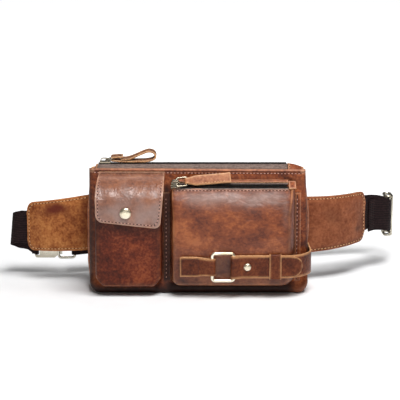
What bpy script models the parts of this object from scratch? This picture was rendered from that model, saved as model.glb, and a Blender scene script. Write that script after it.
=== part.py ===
"""A leather waist pack: two front pockets, a main zipped compartment, side wings and a clasped webbing belt.

The frame is +Z up, +X to the wearer-facing viewer's right and -Y to the front. The origin is the centre of the
base, on the surface that the pack stands on. Helpers take millimetres; meshes are in metres.
"""

import math

import bmesh
import bpy
from mathutils import Matrix, Vector

MM = 0.001
GAP = 0.3                       # air between two pieces that touch

# Body of the pack
BODY_HEIGHT = 136.0
BASE_HALF_WIDTH = 122.0
WIDTH_TAPER = 4.0               # half width lost at the top, on a parabola
BASE_HALF_DEPTH = 25.0
DEPTH_TAPER = 6.0               # half depth lost at the top, on a straight line
CORNER_RADIUS = 12.0
LEATHER = 2.0
LINING = 0.8
LINING_TOP = 126.0
LINING_CLEARANCE = 0.6

# Main zip, along the top
RIDGE_HEIGHT = 142.2            # middle of the tooth chain
TAPE = 0.8
TOOTH_INNER = 0.7
TOOTH_OUTER = 3.0
TOOTH_HALF_HEIGHT = 1.2
MAIN_CHAIN = (-112.0, 98.0)
MAIN_SLIDER_X = -104.0
MAIN_SLIDER_LENGTH = 12.5

# Pocket with the flap, on the left
FLAP_POCKET_X = (-114.0, -40.0)
FLAP_POCKET_Z = (10.0, 110.0)
FLAP_POCKET_FACE = -47.0        # outer face
POCKET_ROUND = 9.0
RIM_GAP = 0.4                   # pocket rim to body panel
FLAP_X = (-115.0, -39.5)
FLAP_HINGE = (-21.6, 132.0)     # y and z of the seam that the flap folds on
FLAP_LEFT_DROP = 87.0           # height of the flap's lower edge at the left
FLAP_RIGHT_DROP = 79.0
SEWN_EDGE = 1.4                 # thickness of the flap's skived edge, sewn to the body above the fold
SNAP = (-79.3, 96.5)            # x and z of the snap fastener

# Pocket with the zip, on the right
ZIP_POCKET_X = (-31.0, 109.0)
ZIP_POCKET_Z = (11.0, 118.0)
ZIP_POCKET_FACE = -48.5         # outer face at its fullest
ZIP_POCKET_MOUTH = -32.3        # outer face at the mouth
FULL_HEIGHT = 52.0              # the face slopes back above this height
ZIP_ACROSS = Vector((0.0, 0.85, 0.53)).normalized()
ZIP_NORMAL = Vector((0.0, -0.53, 0.85)).normalized()
ZIP_EDGE = Vector((0.0, -32.3, 118.0))
CHAIN_MIDDLE = 6.3              # from the leather edge, across the zip
POCKET_CHAIN = (-25.0, 98.0)
POCKET_SLIDER_X = -25.5
POCKET_SLIDER_LENGTH = 10.0

# Decorative strap across the zip pocket
STRAP_HEIGHT = 37.0
STRAP_HALF = 12.6
STRAP_THICK = 1.6
STRAP_LOWER = -50.9             # middle of the layer next to the pocket
STRAP_UPPER = -52.8             # middle of the layer in front of it
RING_WIRE = 3.4
RING_X = (14.7, 38.3)           # middles of the ring's two bars
RING_RAIL = 15.3                # rails above and below STRAP_HEIGHT
RING_CHAMFER = 2.3
RIVET_X = 53.0
STRAP_TIP = 110.4
KEEPER_X = (77.0, 90.0)

# Wings: leather in front, padding, then a lining
WING_LEATHER = 2.0
WING_PADDING = 3.0
WING_BACKING = 1.2
WING_CORNER = 8.0
WING_AIR = 0.5                  # between the layers of a wing, which curve together

# Belt
WEBBING = 2.0
WEBBING_HALF = 19.0
LAYER_OFFSET = 1.2              # each layer of the doubled belt, from the belt's middle
BELT_HINGE = (-202.3, 54.5)     # x and y of the crease that the left belt end swings on
CREASE = 1.3                    # from the crease to the webbing on either side of it
CUT_GAP = 0.5                   # between two nodes of one length of webbing
HOOK_PIN = (-192.0, 57.2)
CLASP_HEIGHT = 42.0
CLASP_RING_X = (-164.7, -146.0)
CLASP_RING_Y = (54.4, 56.0)
CLASP_WIRE = 3.0
CLASP_RAIL = 22.4               # rails above and below CLASP_HEIGHT
ADJUSTER_X = 228.0
ADJUSTER_Y = 106.0
ADJUSTER_HEIGHT = 60.0

SMALL_MERGE = 0.00005           # metres


# ---------------------------------------------------------------- scene and materials

for old in list(bpy.data.objects):
    bpy.data.objects.remove(old)

PARTS = bpy.data.collections.new("waist_pack")
CUTTERS = bpy.data.collections.new("cutters")
bpy.context.scene.collection.children.link(PARTS)
bpy.context.scene.collection.children.link(CUTTERS)


def material(name, color, roughness, metallic=0.0):
    made = bpy.data.materials.new(name)
    made.use_nodes = True
    shader = made.node_tree.nodes["Principled BSDF"]
    shader.inputs["Base Color"].default_value = (*color, 1.0)
    shader.inputs["Roughness"].default_value = roughness
    shader.inputs["Metallic"].default_value = metallic
    return made


LEATHER_BROWN = material("brown_leather", (0.26, 0.095, 0.04), 0.5)
LEATHER_FLAP = material("flap_leather", (0.30, 0.14, 0.10), 0.4)
LEATHER_TAN = material("tan_leather", (0.36, 0.16, 0.06), 0.6)
LEATHER_PULL = material("pull_leather", (0.40, 0.22, 0.10), 0.6)
WEBBING_DARK = material("dark_webbing", (0.035, 0.018, 0.022), 0.8)
TAPE_GREY = material("zip_tape", (0.12, 0.10, 0.09), 0.8)
TEETH_DARK = material("zip_teeth", (0.03, 0.025, 0.022), 0.4)
METAL = material("aged_nickel", (0.55, 0.52, 0.45), 0.3, 1.0)
FOAM = material("padding", (0.35, 0.33, 0.30), 0.9)
CLOTH = material("lining_cloth", (0.05, 0.04, 0.035), 0.9)


# ---------------------------------------------------------------- helpers

def link(name, data, finish, where=PARTS):
    """A new object in the parts, or the cutters when it only shapes another."""
    made = bpy.data.objects.new(name, data)
    where.objects.link(made)
    if data.materials is not None and finish is not None:
        data.materials.append(finish)
    if where is CUTTERS:
        made.hide_render = True
        made.display_type = "WIRE"
    return made


def stations(low, high, low_round, high_round, inner, corner=3):
    """Values from low to high, spaced as the points of a quarter circle over each rounded end."""
    turn = [1.0 - math.cos(math.pi / 2 * i / corner) for i in range(corner)]
    start = [low + low_round * t for t in turn] if low_round else []
    finish = [high - high_round * t for t in reversed(turn)] if high_round else []
    first = low + low_round
    last = high - high_round
    middle = [first + (last - first) * i / inner for i in range(inner + 1)]
    return start + middle + finish


def round_in(distance, radius):
    """How far a rounded corner has pulled an edge in, this far from the corner's end."""
    if distance >= radius:
        return 0.0
    return radius - math.sqrt(max(0.0, radius ** 2 - (radius - distance) ** 2))


def rise(t):
    """Quarter circle from 0 at a pocket's rim to 1 on its face."""
    t = min(max(t, 0.0), 1.0)
    return math.sqrt(1.0 - (1.0 - t) ** 2)


def smooth_path(points, steps):
    """A Catmull-Rom curve through the points, with this many steps between two of them."""
    points = [Vector(p) for p in points]
    ends = [2 * points[0] - points[1]] + points + [2 * points[-1] - points[-2]]
    path = []
    for i in range(1, len(ends) - 2):
        a, b, c, d = ends[i - 1:i + 3]
        for k in range(steps):
            t = k / steps
            path.append(0.5 * (2 * b + (c - a) * t + (2 * a - 5 * b + 4 * c - d) * t ** 2
                               + (3 * b - a - 3 * c + d) * t ** 3))
    path.append(points[-1])
    return path


def arc(centre, radius, start, end, count):
    """Points on an arc, by angles in degrees, both ends included."""
    angles = [math.radians(start + (end - start) * i / count) for i in range(count + 1)]
    return [(centre[0] + radius * math.cos(a), centre[1] + radius * math.sin(a)) for a in angles]


def offset_path(points, distance):
    """The same route shifted to its left, seen from above, in the first two coordinates."""
    points = [Vector(p) for p in points]
    shifted = []
    for i, point in enumerate(points):
        ahead = points[min(i + 1, len(points) - 1)] - points[max(i - 1, 0)]
        left = Vector((-ahead[1], ahead[0])).normalized() * distance
        moved = point.copy()
        moved[0] += left[0]
        moved[1] += left[1]
        shifted.append(moved)
    return shifted


def sheet(name, point, us, vs, thickness, finish):
    """A flexible sheet: a grid whose corners are placed by point(u, v), thickened about its middle."""
    bm = bmesh.new()
    bmesh.ops.create_grid(bm, x_segments=len(us) - 1, y_segments=len(vs) - 1, size=1.0)
    bm.verts.ensure_lookup_table()
    for index, vert in enumerate(bm.verts):
        row, column = divmod(index, len(us))
        vert.co = Vector(point(us[column], vs[row])) * MM
    mesh = bpy.data.meshes.new(name)
    bm.to_mesh(mesh)
    bm.free()
    made = link(name, mesh, finish)
    solid = made.modifiers.new("thickness", "SOLIDIFY")
    solid.thickness = thickness * MM
    solid.offset = 0.0
    solid.use_even_offset = True
    return made


def ribbon(name, path, half, thickness, finish, side=Vector((0.0, 0.0, 1.0))):
    """A strip along a path of its middle points, this far to each side of it."""
    reach = half if callable(half) else (lambda index: half)
    lean = side if callable(side) else (lambda index: side)

    def point(u, v):
        return Vector(path[u]) + lean(u) * (v * reach(u))

    return sheet(name, point, range(len(path)), (-1.0, 1.0), thickness, finish)


def box(name, low, high, finish, bevel=0.0, where=PARTS):
    bm = bmesh.new()
    bmesh.ops.create_cube(bm, size=1.0)
    low = Vector(low)
    high = Vector(high)
    for vert in bm.verts:
        vert.co = Vector([(low[i] + high[i]) / 2 + vert.co[i] * (high[i] - low[i]) for i in range(3)]) * MM
    mesh = bpy.data.meshes.new(name)
    bm.to_mesh(mesh)
    bm.free()
    made = link(name, mesh, finish, where)
    if bevel:
        edge = made.modifiers.new("edges", "BEVEL")
        edge.width = bevel * MM
        edge.segments = 1
    return made


def frame_matrix(origin, x_axis, y_axis):
    """A placement whose local X and Y run along the two axes given, with its origin in millimetres."""
    x_axis = Vector(x_axis).normalized()
    z_axis = x_axis.cross(Vector(y_axis)).normalized()
    y_axis = z_axis.cross(x_axis)
    turn = Matrix((x_axis, y_axis, z_axis)).transposed().to_4x4()
    return Matrix.Translation(Vector(origin) * MM) @ turn


def plate(name, outlines, thickness, place, finish, where=PARTS):
    """A flat piece: outlines in the local XY plane, the first outside and the others holes, made a mesh."""
    curve = bpy.data.curves.new(name, "CURVE")
    curve.dimensions = "2D"
    curve.fill_mode = "BOTH"
    curve.extrude = thickness * MM / 2
    for outline in outlines:
        spline = curve.splines.new("POLY")
        spline.points.add(len(outline) - 1)
        for knot, (x, y) in zip(spline.points, outline):
            knot.co = (x * MM, y * MM, 0.0, 1.0)
        spline.use_cyclic_u = True
    drawn = link(name, curve, None, where)
    drawn.matrix_world = place
    return meshed(drawn, finish, where)


def meshed(drawn, finish, where=PARTS):
    """The same piece as a mesh with its caps welded, so that it can be cut or joined."""
    name = drawn.name
    place = drawn.matrix_world.copy()
    bpy.context.view_layer.update()
    mesh = bpy.data.meshes.new_from_object(drawn.evaluated_get(bpy.context.evaluated_depsgraph_get()))
    bm = bmesh.new()
    bm.from_mesh(mesh)
    bmesh.ops.remove_doubles(bm, verts=bm.verts, dist=SMALL_MERGE)
    bmesh.ops.recalc_face_normals(bm, faces=bm.faces)
    bm.to_mesh(mesh)
    bm.free()
    bpy.data.objects.remove(drawn)
    mesh.materials.clear()
    made = link(name, mesh, finish, where)
    made.name = name
    made.matrix_world = place
    return made


def wire(name, points, diameter, finish, closed=True, where=PARTS):
    """Round wire through the points, as a curve with a bevel depth."""
    curve = bpy.data.curves.new(name, "CURVE")
    curve.dimensions = "3D"
    curve.bevel_depth = diameter * MM / 2
    curve.bevel_resolution = 2
    curve.use_fill_caps = not closed
    spline = curve.splines.new("POLY")
    spline.points.add(len(points) - 1)
    for knot, point in zip(spline.points, points):
        knot.co = (*(Vector(point) * MM), 1.0)
    spline.use_cyclic_u = closed
    return link(name, curve, finish, where)


def turned(name, profile, place, finish, steps=20, where=PARTS):
    """A round piece: (radius, height) points from the top of its axis, down its outer side, to the bottom."""
    mesh = bpy.data.meshes.new(name)
    verts = [(r * MM, 0.0, h * MM) for r, h in profile]
    mesh.from_pydata(verts, [(i, i + 1) for i in range(len(verts) - 1)], [])
    made = link(name, mesh, finish, where)
    made.matrix_world = place
    screw = made.modifiers.new("turn", "SCREW")
    screw.angle = 2 * math.pi
    screw.steps = steps
    screw.render_steps = steps
    screw.use_merge_vertices = True
    screw.merge_threshold = SMALL_MERGE
    return made


def combine(target, tool, operation):
    change = target.modifiers.new(tool.name, "BOOLEAN")
    change.operation = operation
    change.object = tool
    return target


def rounded_rectangle(low, high, radius, steps=3):
    """Corner points of a rectangle with round corners, anticlockwise."""
    x0, y0 = low
    x1, y1 = high
    return (arc((x1 - radius, y1 - radius), radius, 0, 90, steps)
            + arc((x0 + radius, y1 - radius), radius, 90, 180, steps)
            + arc((x0 + radius, y0 + radius), radius, 180, 270, steps)
            + arc((x1 - radius, y0 + radius), radius, 270, 360, steps))


def facing_front(x, y, z):
    """A turned piece's placement with its axis towards the front."""
    return frame_matrix((x, y, z), (1.0, 0.0, 0.0), (0.0, 0.0, 1.0))


# ---------------------------------------------------------------- body

def half_width(z):
    return BASE_HALF_WIDTH - WIDTH_TAPER * (z / BODY_HEIGHT) ** 2


def half_depth(z):
    return BASE_HALF_DEPTH - DEPTH_TAPER * z / BODY_HEIGHT


def body_panel(name, front):
    """Front or back leather, with its two lower corners rounded."""
    sign = -1.0 if front else 1.0
    middle = LEATHER / 2

    def point(u, v):
        return (u * (half_width(v) - round_in(v, CORNER_RADIUS)), sign * (half_depth(v) - middle), v)

    heights = stations(0.0, BODY_HEIGHT, CORNER_RADIUS, 0.0, 4, corner=5)
    return sheet(name, point, (-1.0, 1.0), heights, LEATHER, LEATHER_BROWN)


def side_outline():
    """The U of the gusset's middle in the XZ plane, from the top left round the base to the top right."""
    inset = LEATHER / 2
    heights = [BODY_HEIGHT + (CORNER_RADIUS - BODY_HEIGHT) * i / 4 for i in range(4)]
    left = [(-(half_width(z) - inset), z) for z in heights]
    corner = (BASE_HALF_WIDTH - CORNER_RADIUS, CORNER_RADIUS)
    left += arc((-corner[0], corner[1]), CORNER_RADIUS - inset, 180, 270, 5)
    return left + [(-x, z) for x, z in reversed(left)]


def gusset():
    outline = side_outline()

    def point(u, v):
        x, z = outline[u]
        return (x, v * (half_depth(z) - LEATHER - GAP), z)

    return sheet("gusset", point, range(len(outline)), (-1.0, 1.0), LEATHER, LEATHER_BROWN)


def lining():
    """A thin cloth bag inside the body, open at the top."""
    bm = bmesh.new()
    bmesh.ops.create_cube(bm, size=1.0)
    top = [face for face in bm.faces if face.normal.z > 0.5]
    bmesh.ops.delete(bm, geom=top, context="FACES")
    inset = LEATHER + LINING_CLEARANCE
    for vert in bm.verts:
        z = LINING_TOP if vert.co.z > 0 else LEATHER + LINING_CLEARANCE
        x = half_width(z) - inset if vert.co.z > 0 else half_width(z) - inset - 0.8 * CORNER_RADIUS
        y = half_depth(z) - inset
        vert.co = Vector((math.copysign(x, vert.co.x), math.copysign(y, vert.co.y), z)) * MM
    mesh = bpy.data.meshes.new("lining")
    bm.to_mesh(mesh)
    bm.free()
    made = link("lining", mesh, CLOTH)
    solid = made.modifiers.new("thickness", "SOLIDIFY")
    solid.thickness = LINING * MM
    solid.offset = -1.0
    solid.use_even_offset = True
    return made


def build_body():
    body_panel("front_panel", True)
    body_panel("back_panel", False)
    gusset()
    lining()


# ---------------------------------------------------------------- zips

def main_tape(name, sign):
    """Cloth tape from inside a body panel up to the tooth chain."""
    profile = [(16.0, 131.0), (15.6, 136.0), (11.5, 139.6), (8.0, 141.4), (5.5, RIDGE_HEIGHT), (3.3, RIDGE_HEIGHT)]

    def point(u, v):
        y, z = profile[v]
        return (u, sign * y, z)

    return sheet(name, point, MAIN_CHAIN, range(len(profile)), TAPE, TAPE_GREY)


def build_main_zip():
    for side, sign in (("front", -1.0), ("rear", 1.0)):
        main_tape("main_zip_tape_" + side, sign)
        ys = sorted((sign * TOOTH_INNER, sign * TOOTH_OUTER))
        low = (MAIN_CHAIN[0], ys[0], RIDGE_HEIGHT - TOOTH_HALF_HEIGHT)
        high = (MAIN_CHAIN[1], ys[1], RIDGE_HEIGHT + TOOTH_HALF_HEIGHT)
        box("main_zip_teeth_" + side, low, high, TEETH_DARK)
    for side, inner, outer in (("left", -112.6, -115.1), ("right", 98.6, 115.1)):
        end_tab("main_zip_end_tab_" + side, inner, outer)


def end_tab(name, inner, outer):
    """Leather that closes one end of the main zip, arched from panel to panel."""
    profile = [(-14.6, 134.5), (-10.5, 138.6), (-5.0, 140.6), (0.0, 141.2), (5.0, 140.6), (10.5, 138.6),
               (14.6, 134.5)]
    drop = 4.0

    def point(u, v):
        y, z = profile[v]
        return (inner + (outer - inner) * u, y, z - drop * u ** 2)

    return sheet(name, point, (0.0, 0.5, 1.0), range(len(profile)), 1.6, LEATHER_BROWN)


def slider_body(name, place, length, top_half, bottom_half, tooth_gap, plate_thick, flange):
    """The slider's two plates and the fin between them: one cross-section, extruded along the chain."""
    t = TOOTH_HALF_HEIGHT + tooth_gap
    fin = TOOTH_INNER - GAP
    upper = t + plate_thick
    section = [(-fin, -t), (-bottom_half, -t), (-bottom_half, -upper), (bottom_half, -upper), (bottom_half, -t),
               (fin, -t), (fin, t)]
    section += [(top_half - 1.0, t), (top_half - 1.0, t - flange), (top_half, t - flange)]
    mirrored = [(-x, y) for x, y in reversed(section[7:])]
    section += [(top_half, upper), (-top_half, upper)] + mirrored + [(-fin, t)]
    return plate(name, [section], length, place, METAL)


def crown(name, place, half_length, foot, inner_top, outer_top):
    """The bridge on a slider that holds the pull's link, with its feet sunk into the slider's plate."""
    wall = 1.3
    sink = 0.5
    inner = half_length - wall
    bridge = [(-half_length, foot - sink), (-half_length, inner_top - 1.0)]
    bridge += [(-half_length + 1.6, outer_top), (half_length - 1.6, outer_top)]
    bridge += [(half_length, inner_top - 1.0), (half_length, foot - sink), (inner, foot - sink)]
    bridge += [(inner, inner_top - 0.8), (inner - 0.9, inner_top), (-inner + 0.9, inner_top)]
    bridge += [(-inner, inner_top - 0.8), (-inner, foot - sink)]
    return plate(name, [bridge], 2.4, place, None, CUTTERS)


def link_ring(name, near, far, half, wire_thick, across):
    """A rectangular wire link between two bars, whose middles are near and far."""
    near = Vector(near)
    far = Vector(far)
    across = Vector(across).normalized()
    along = (far - near).normalized()
    length = (far - near).length
    flat = rounded_rectangle((0.0, -half), (length, half), 1.0, 2)
    return wire(name, [near + along * x + across * y for x, y in flat], wire_thick, METAL)


MAIN_LINK = (Vector((-103.2, 0.0, 146.3)), Vector((-95.5, 0.0, 148.2)))


def main_slider():
    place = frame_matrix((MAIN_SLIDER_X, 0.0, RIDGE_HEIGHT), (0.0, 1.0, 0.0), (0.0, 0.0, 1.0))
    body = slider_body("main_zip_slider", place, MAIN_SLIDER_LENGTH, 4.75, 4.75, 0.4, 1.0, 0.6)
    side = frame_matrix((MAIN_SLIDER_X - 1.0, 0.0, RIDGE_HEIGHT), (1.0, 0.0, 0.0), (0.0, 0.0, 1.0))
    combine(body, crown("main_crown", side, 4.5, 2.6, 5.3, 6.4), "UNION")


def main_pull():
    """Leather strip folded round the link's bar, with its far end left as a teardrop loop."""
    bar = MAIN_LINK[1]
    turn = arc((bar.x, bar.z), 1.8, 90, 270, 5)
    start = [(-84.0, 150.4), (-90.0, 150.5)]
    run = [(-90.0, 145.7), (-80.0, 145.0), (-62.0, 145.0), (-51.0, 145.5), (-44.0, 148.0), (-41.0, 152.5)]
    loop = [(-44.5, 157.4), (-51.0, 158.4), (-58.0, 155.5), (-70.0, 150.2), (-79.0, 147.9), (-87.0, 147.8)]
    flat = start + turn + [tuple(p) for p in smooth_path(run + loop, 2)]
    path = [(x, 0.0, z) for x, z in flat]
    return ribbon("main_zip_pull", path, 3.9, 1.4, LEATHER_PULL, Vector((0.0, 1.0, 0.0)))


def build_main_slider():
    main_slider()
    link_ring("main_zip_pull_link", MAIN_LINK[0], MAIN_LINK[1], 5.2, 1.5, (0.0, 1.0, 0.0))
    main_pull()


def zip_plane(across, above=0.0):
    """A point of the slanted pocket zip: across it from the leather edge, and above it."""
    return ZIP_EDGE + ZIP_ACROSS * across + ZIP_NORMAL * above


def pocket_tape(name, middles):
    def point(u, v):
        return (u, middles[v][0], middles[v][1])

    return sheet(name, point, POCKET_CHAIN, range(len(middles)), TAPE, TAPE_GREY)


def pocket_teeth(name, near, far):
    middle = zip_plane((near + far) / 2)
    place = frame_matrix((sum(POCKET_CHAIN) / 2, middle.y, middle.z), (1.0, 0.0, 0.0), ZIP_ACROSS)
    half = (far - near) / 2
    length = POCKET_CHAIN[1] - POCKET_CHAIN[0]
    made = box(name, (-length / 2, -half, -TOOTH_HALF_HEIGHT), (length / 2, half, TOOTH_HALF_HEIGHT), TEETH_DARK)
    made.matrix_world = place
    return made


def pocket_end_tab():
    """Leather over the right end of the pocket zip."""
    def point(u, v):
        middle = zip_plane(v, 1.5)
        return (u, middle.y, middle.z)

    return sheet("zip_pocket_end_tab", point, (98.6, 106.6), (1.0, 6.0, 13.0), 1.4, LEATHER_BROWN)


def build_pocket_zip():
    upper = [zip_plane(14.0), zip_plane(CHAIN_MIDDLE + TOOTH_OUTER + GAP)]
    pocket_tape("zip_pocket_tape_upper", [(p.y, p.z) for p in upper])
    hem = [zip_plane(2.6), zip_plane(CHAIN_MIDDLE - TOOTH_OUTER - GAP)]
    tail = [(zip_pocket_face(z) + LEATHER + 3 * GAP + TAPE / 2, z) for z in (113.0, 117.0)]
    pocket_tape("zip_pocket_tape_lower", tail + [(p.y, p.z) for p in hem])
    pocket_teeth("zip_pocket_teeth_upper", CHAIN_MIDDLE + TOOTH_INNER, CHAIN_MIDDLE + TOOTH_OUTER)
    pocket_teeth("zip_pocket_teeth_lower", CHAIN_MIDDLE - TOOTH_OUTER, CHAIN_MIDDLE - TOOTH_INNER)
    pocket_end_tab()


POCKET_LINK = (Vector((-24.0, -30.24, 126.6)), Vector((-13.0, -29.0, 127.6)))
PULL_END = Vector((35.0, -23.7, 130.7))
PULL_ALONG = (PULL_END - POCKET_LINK[1]).normalized()
PULL_OUT = PULL_ALONG.cross(Vector((0.0, 0.5, 0.866))).normalized()
PULL_SIDE = PULL_OUT.cross(PULL_ALONG)


def build_pocket_slider():
    middle = zip_plane(CHAIN_MIDDLE)
    origin = (POCKET_SLIDER_X, middle.y, middle.z)
    place = frame_matrix(origin, ZIP_ACROSS, ZIP_NORMAL)
    body = slider_body("zip_pocket_slider", place, POCKET_SLIDER_LENGTH, 4.5, 3.0, 0.4, 1.0, 0.4)
    side = frame_matrix(origin, (1.0, 0.0, 0.0), ZIP_NORMAL)
    combine(body, crown("pocket_crown", side, 4.5, 2.6, 8.0, 9.2), "UNION")
    link_ring("zip_pocket_pull_link", POCKET_LINK[0], POCKET_LINK[1], 4.8, 1.6, PULL_SIDE)
    pocket_pull()


def pocket_pull():
    """Leather strip folded round the link's bar into two layers that lean back on the body."""
    bar = POCKET_LINK[1]
    length = (PULL_END - bar).length
    stack = 0.85
    outer = [(length, stack), (11.0, stack), (6.0, stack), (2.5, 1.6)]
    flat = outer + arc((0.0, 0.0), 1.9, 90, 270, 5) + [(x, -y) for x, y in reversed(outer)]
    path = [bar + PULL_ALONG * x + PULL_OUT * y for x, y in flat]

    def half(index):
        return 3.2 + 2.3 * min(1.0, max(0.0, flat[index][0] / 11.0))

    return ribbon("zip_pocket_pull", path, half, 1.3, LEATHER_PULL, PULL_SIDE)


# ---------------------------------------------------------------- pockets and flap

def zip_pocket_face(z):
    """Outer face of the zip pocket at this height."""
    above = max(0.0, z - FULL_HEIGHT) / (ZIP_POCKET_Z[1] - FULL_HEIGHT)
    return ZIP_POCKET_FACE + (ZIP_POCKET_MOUTH - ZIP_POCKET_FACE) * above ** 1.8


def pocket(name, x_range, z_range, face, side_round, mouth_drop, cells):
    """An open-topped patch pocket with rounded sides and base, standing on the front panel.

    side_round(z) is the radius that its face turns in with, and mouth_drop is how much lower its sides end.
    """
    low, high = x_range[0] + LEATHER / 2, x_range[1] - LEATHER / 2
    base = z_range[0] + LEATHER / 2
    top = z_range[1]
    centre = (low + high) / 2
    half = (high - low) / 2
    turn = [1.0 - math.cos(math.pi / 6 * i) for i in range(3)]
    across = [-1.0 + 2.0 * i / cells[0] for i in range(cells[0] + 1)]
    # each column: share of the half width, share of the side's radius, share of the depth
    columns = [(-1.0, t, rise(t)) for t in turn] + [(m, -m, 1.0) for m in across]
    columns += [(1.0, -t, rise(t)) for t in reversed(turn)]

    def point(u, v):
        reach, turned_in, depth = columns[u]
        z = v - mouth_drop * (1.0 - depth) * max(0.0, (v - base) / (top - base)) ** 4
        side = half - round_in(z - base, POCKET_ROUND)
        rim = -half_depth(z) - RIM_GAP
        out = face(z) + LEATHER / 2 - rim
        bulge = depth * rise((z - base) / POCKET_ROUND)
        return (centre + reach * side + turned_in * side_round(z), rim + out * bulge, z)

    return sheet(name, point, range(len(columns)), stations(base, top, POCKET_ROUND, 0.0, cells[1]), LEATHER,
                 LEATHER_BROWN)


def zip_pocket_round(z):
    """The side's radius, which shrinks towards the mouth, where the zip keeps the corners square."""
    share = min(1.0, max(0.0, (z - 85.0) / (ZIP_POCKET_Z[1] - 85.0)))
    return POCKET_ROUND - 6.0 * share


FLAP_PROFILE = [FLAP_HINGE, (-25.0, 131.2), (-31.0, 128.6), (-38.5, 123.5), (-45.0, 116.5), (-49.5, 108.0),
                (-51.2, 99.5)]


def flap_drop(x):
    """Height of the flap's lower edge, which slopes down to the right and has two round corners."""
    share = (x - FLAP_X[0]) / (FLAP_X[1] - FLAP_X[0])
    lower = FLAP_LEFT_DROP + (FLAP_RIGHT_DROP - FLAP_LEFT_DROP) * share
    distance = min(x - FLAP_X[0], FLAP_X[1] - x)
    return lower + round_in(distance, WING_CORNER)


def flap():
    """The flap's sheet, with a hole for the snap's post."""
    rows = len(FLAP_PROFILE)
    lower_rows = 3

    def point(x, v):
        if v < rows:
            return (x, *FLAP_PROFILE[v])
        top = FLAP_PROFILE[-1]
        share = (v - rows + 1) / lower_rows
        return (x, top[0], top[1] + (flap_drop(x) - top[1]) * share)

    xs = stations(FLAP_X[0], FLAP_X[1], WING_CORNER, WING_CORNER, 4)
    made = sheet("flap", point, xs, range(rows + lower_rows), LEATHER, LEATHER_FLAP)
    hole = turned("flap_hole", [(0.0, 8.0), (2.4, 8.0), (2.4, -8.0), (0.0, -8.0)],
                  facing_front(SNAP[0], -51.0, SNAP[1]), None, 12, CUTTERS)
    return combine(made, hole, "DIFFERENCE")


def build_snap():
    """Cap outside the flap with its post through it, socket inside, and stud on the pocket."""
    cap = [(0.0, 2.2), (2.4, 2.1), (4.4, 1.6), (5.8, 0.8), (6.25, 0.0), (6.25, -0.4), (2.0, -0.4), (2.0, -2.9),
           (0.0, -2.9)]
    turned("snap_cap", cap, facing_front(SNAP[0], -52.9, SNAP[1]), METAL)
    socket = [(3.3, 1.2), (5.2, 1.2), (5.2, 0.0), (3.3, 0.0), (3.3, 1.2)]
    turned("snap_socket", socket, facing_front(SNAP[0], -48.2, SNAP[1]), METAL)
    stud = [(0.0, 1.6), (2.3, 1.6), (2.3, 0.6), (4.5, 0.6), (4.5, 0.0), (0.0, 0.0)]
    turned("snap_stud", stud, facing_front(SNAP[0], FLAP_POCKET_FACE - GAP, SNAP[1]), METAL)


def build_pockets():
    pocket("flap_pocket", FLAP_POCKET_X, FLAP_POCKET_Z, lambda z: FLAP_POCKET_FACE, lambda z: POCKET_ROUND, 0.0,
           (3, 3))
    pocket("zip_pocket", ZIP_POCKET_X, ZIP_POCKET_Z, zip_pocket_face, zip_pocket_round, 5.0, (4, 9))
    flap()
    sewn = (FLAP_HINGE[1] + 1.4, BODY_HEIGHT - 0.4)
    face = -half_depth(sewn[0])
    low, high = (FLAP_X[0], face - GAP - SEWN_EDGE, sewn[0]), (FLAP_X[1], face - GAP, sewn[1])
    box("flap_sewn_edge", low, high, LEATHER_FLAP, 0.4)
    build_snap()


# ---------------------------------------------------------------- strap across the zip pocket

def strap_turn(x, left):
    """Half a turn round one of the ring's bars, from the lower layer to the front."""
    y = STRAP_LOWER - STRAP_THICK / 2 - GAP - RING_WIRE / 2
    radius = STRAP_LOWER - y
    start, end = (90, 270) if left else (90, -90)
    return arc((x, y), radius, start, end, 5)


def strap_tip(x):
    """Half height of the strap's front layer, which ends in a round tip."""
    return STRAP_HALF - round_in(STRAP_TIP - x, 6.0)


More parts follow.
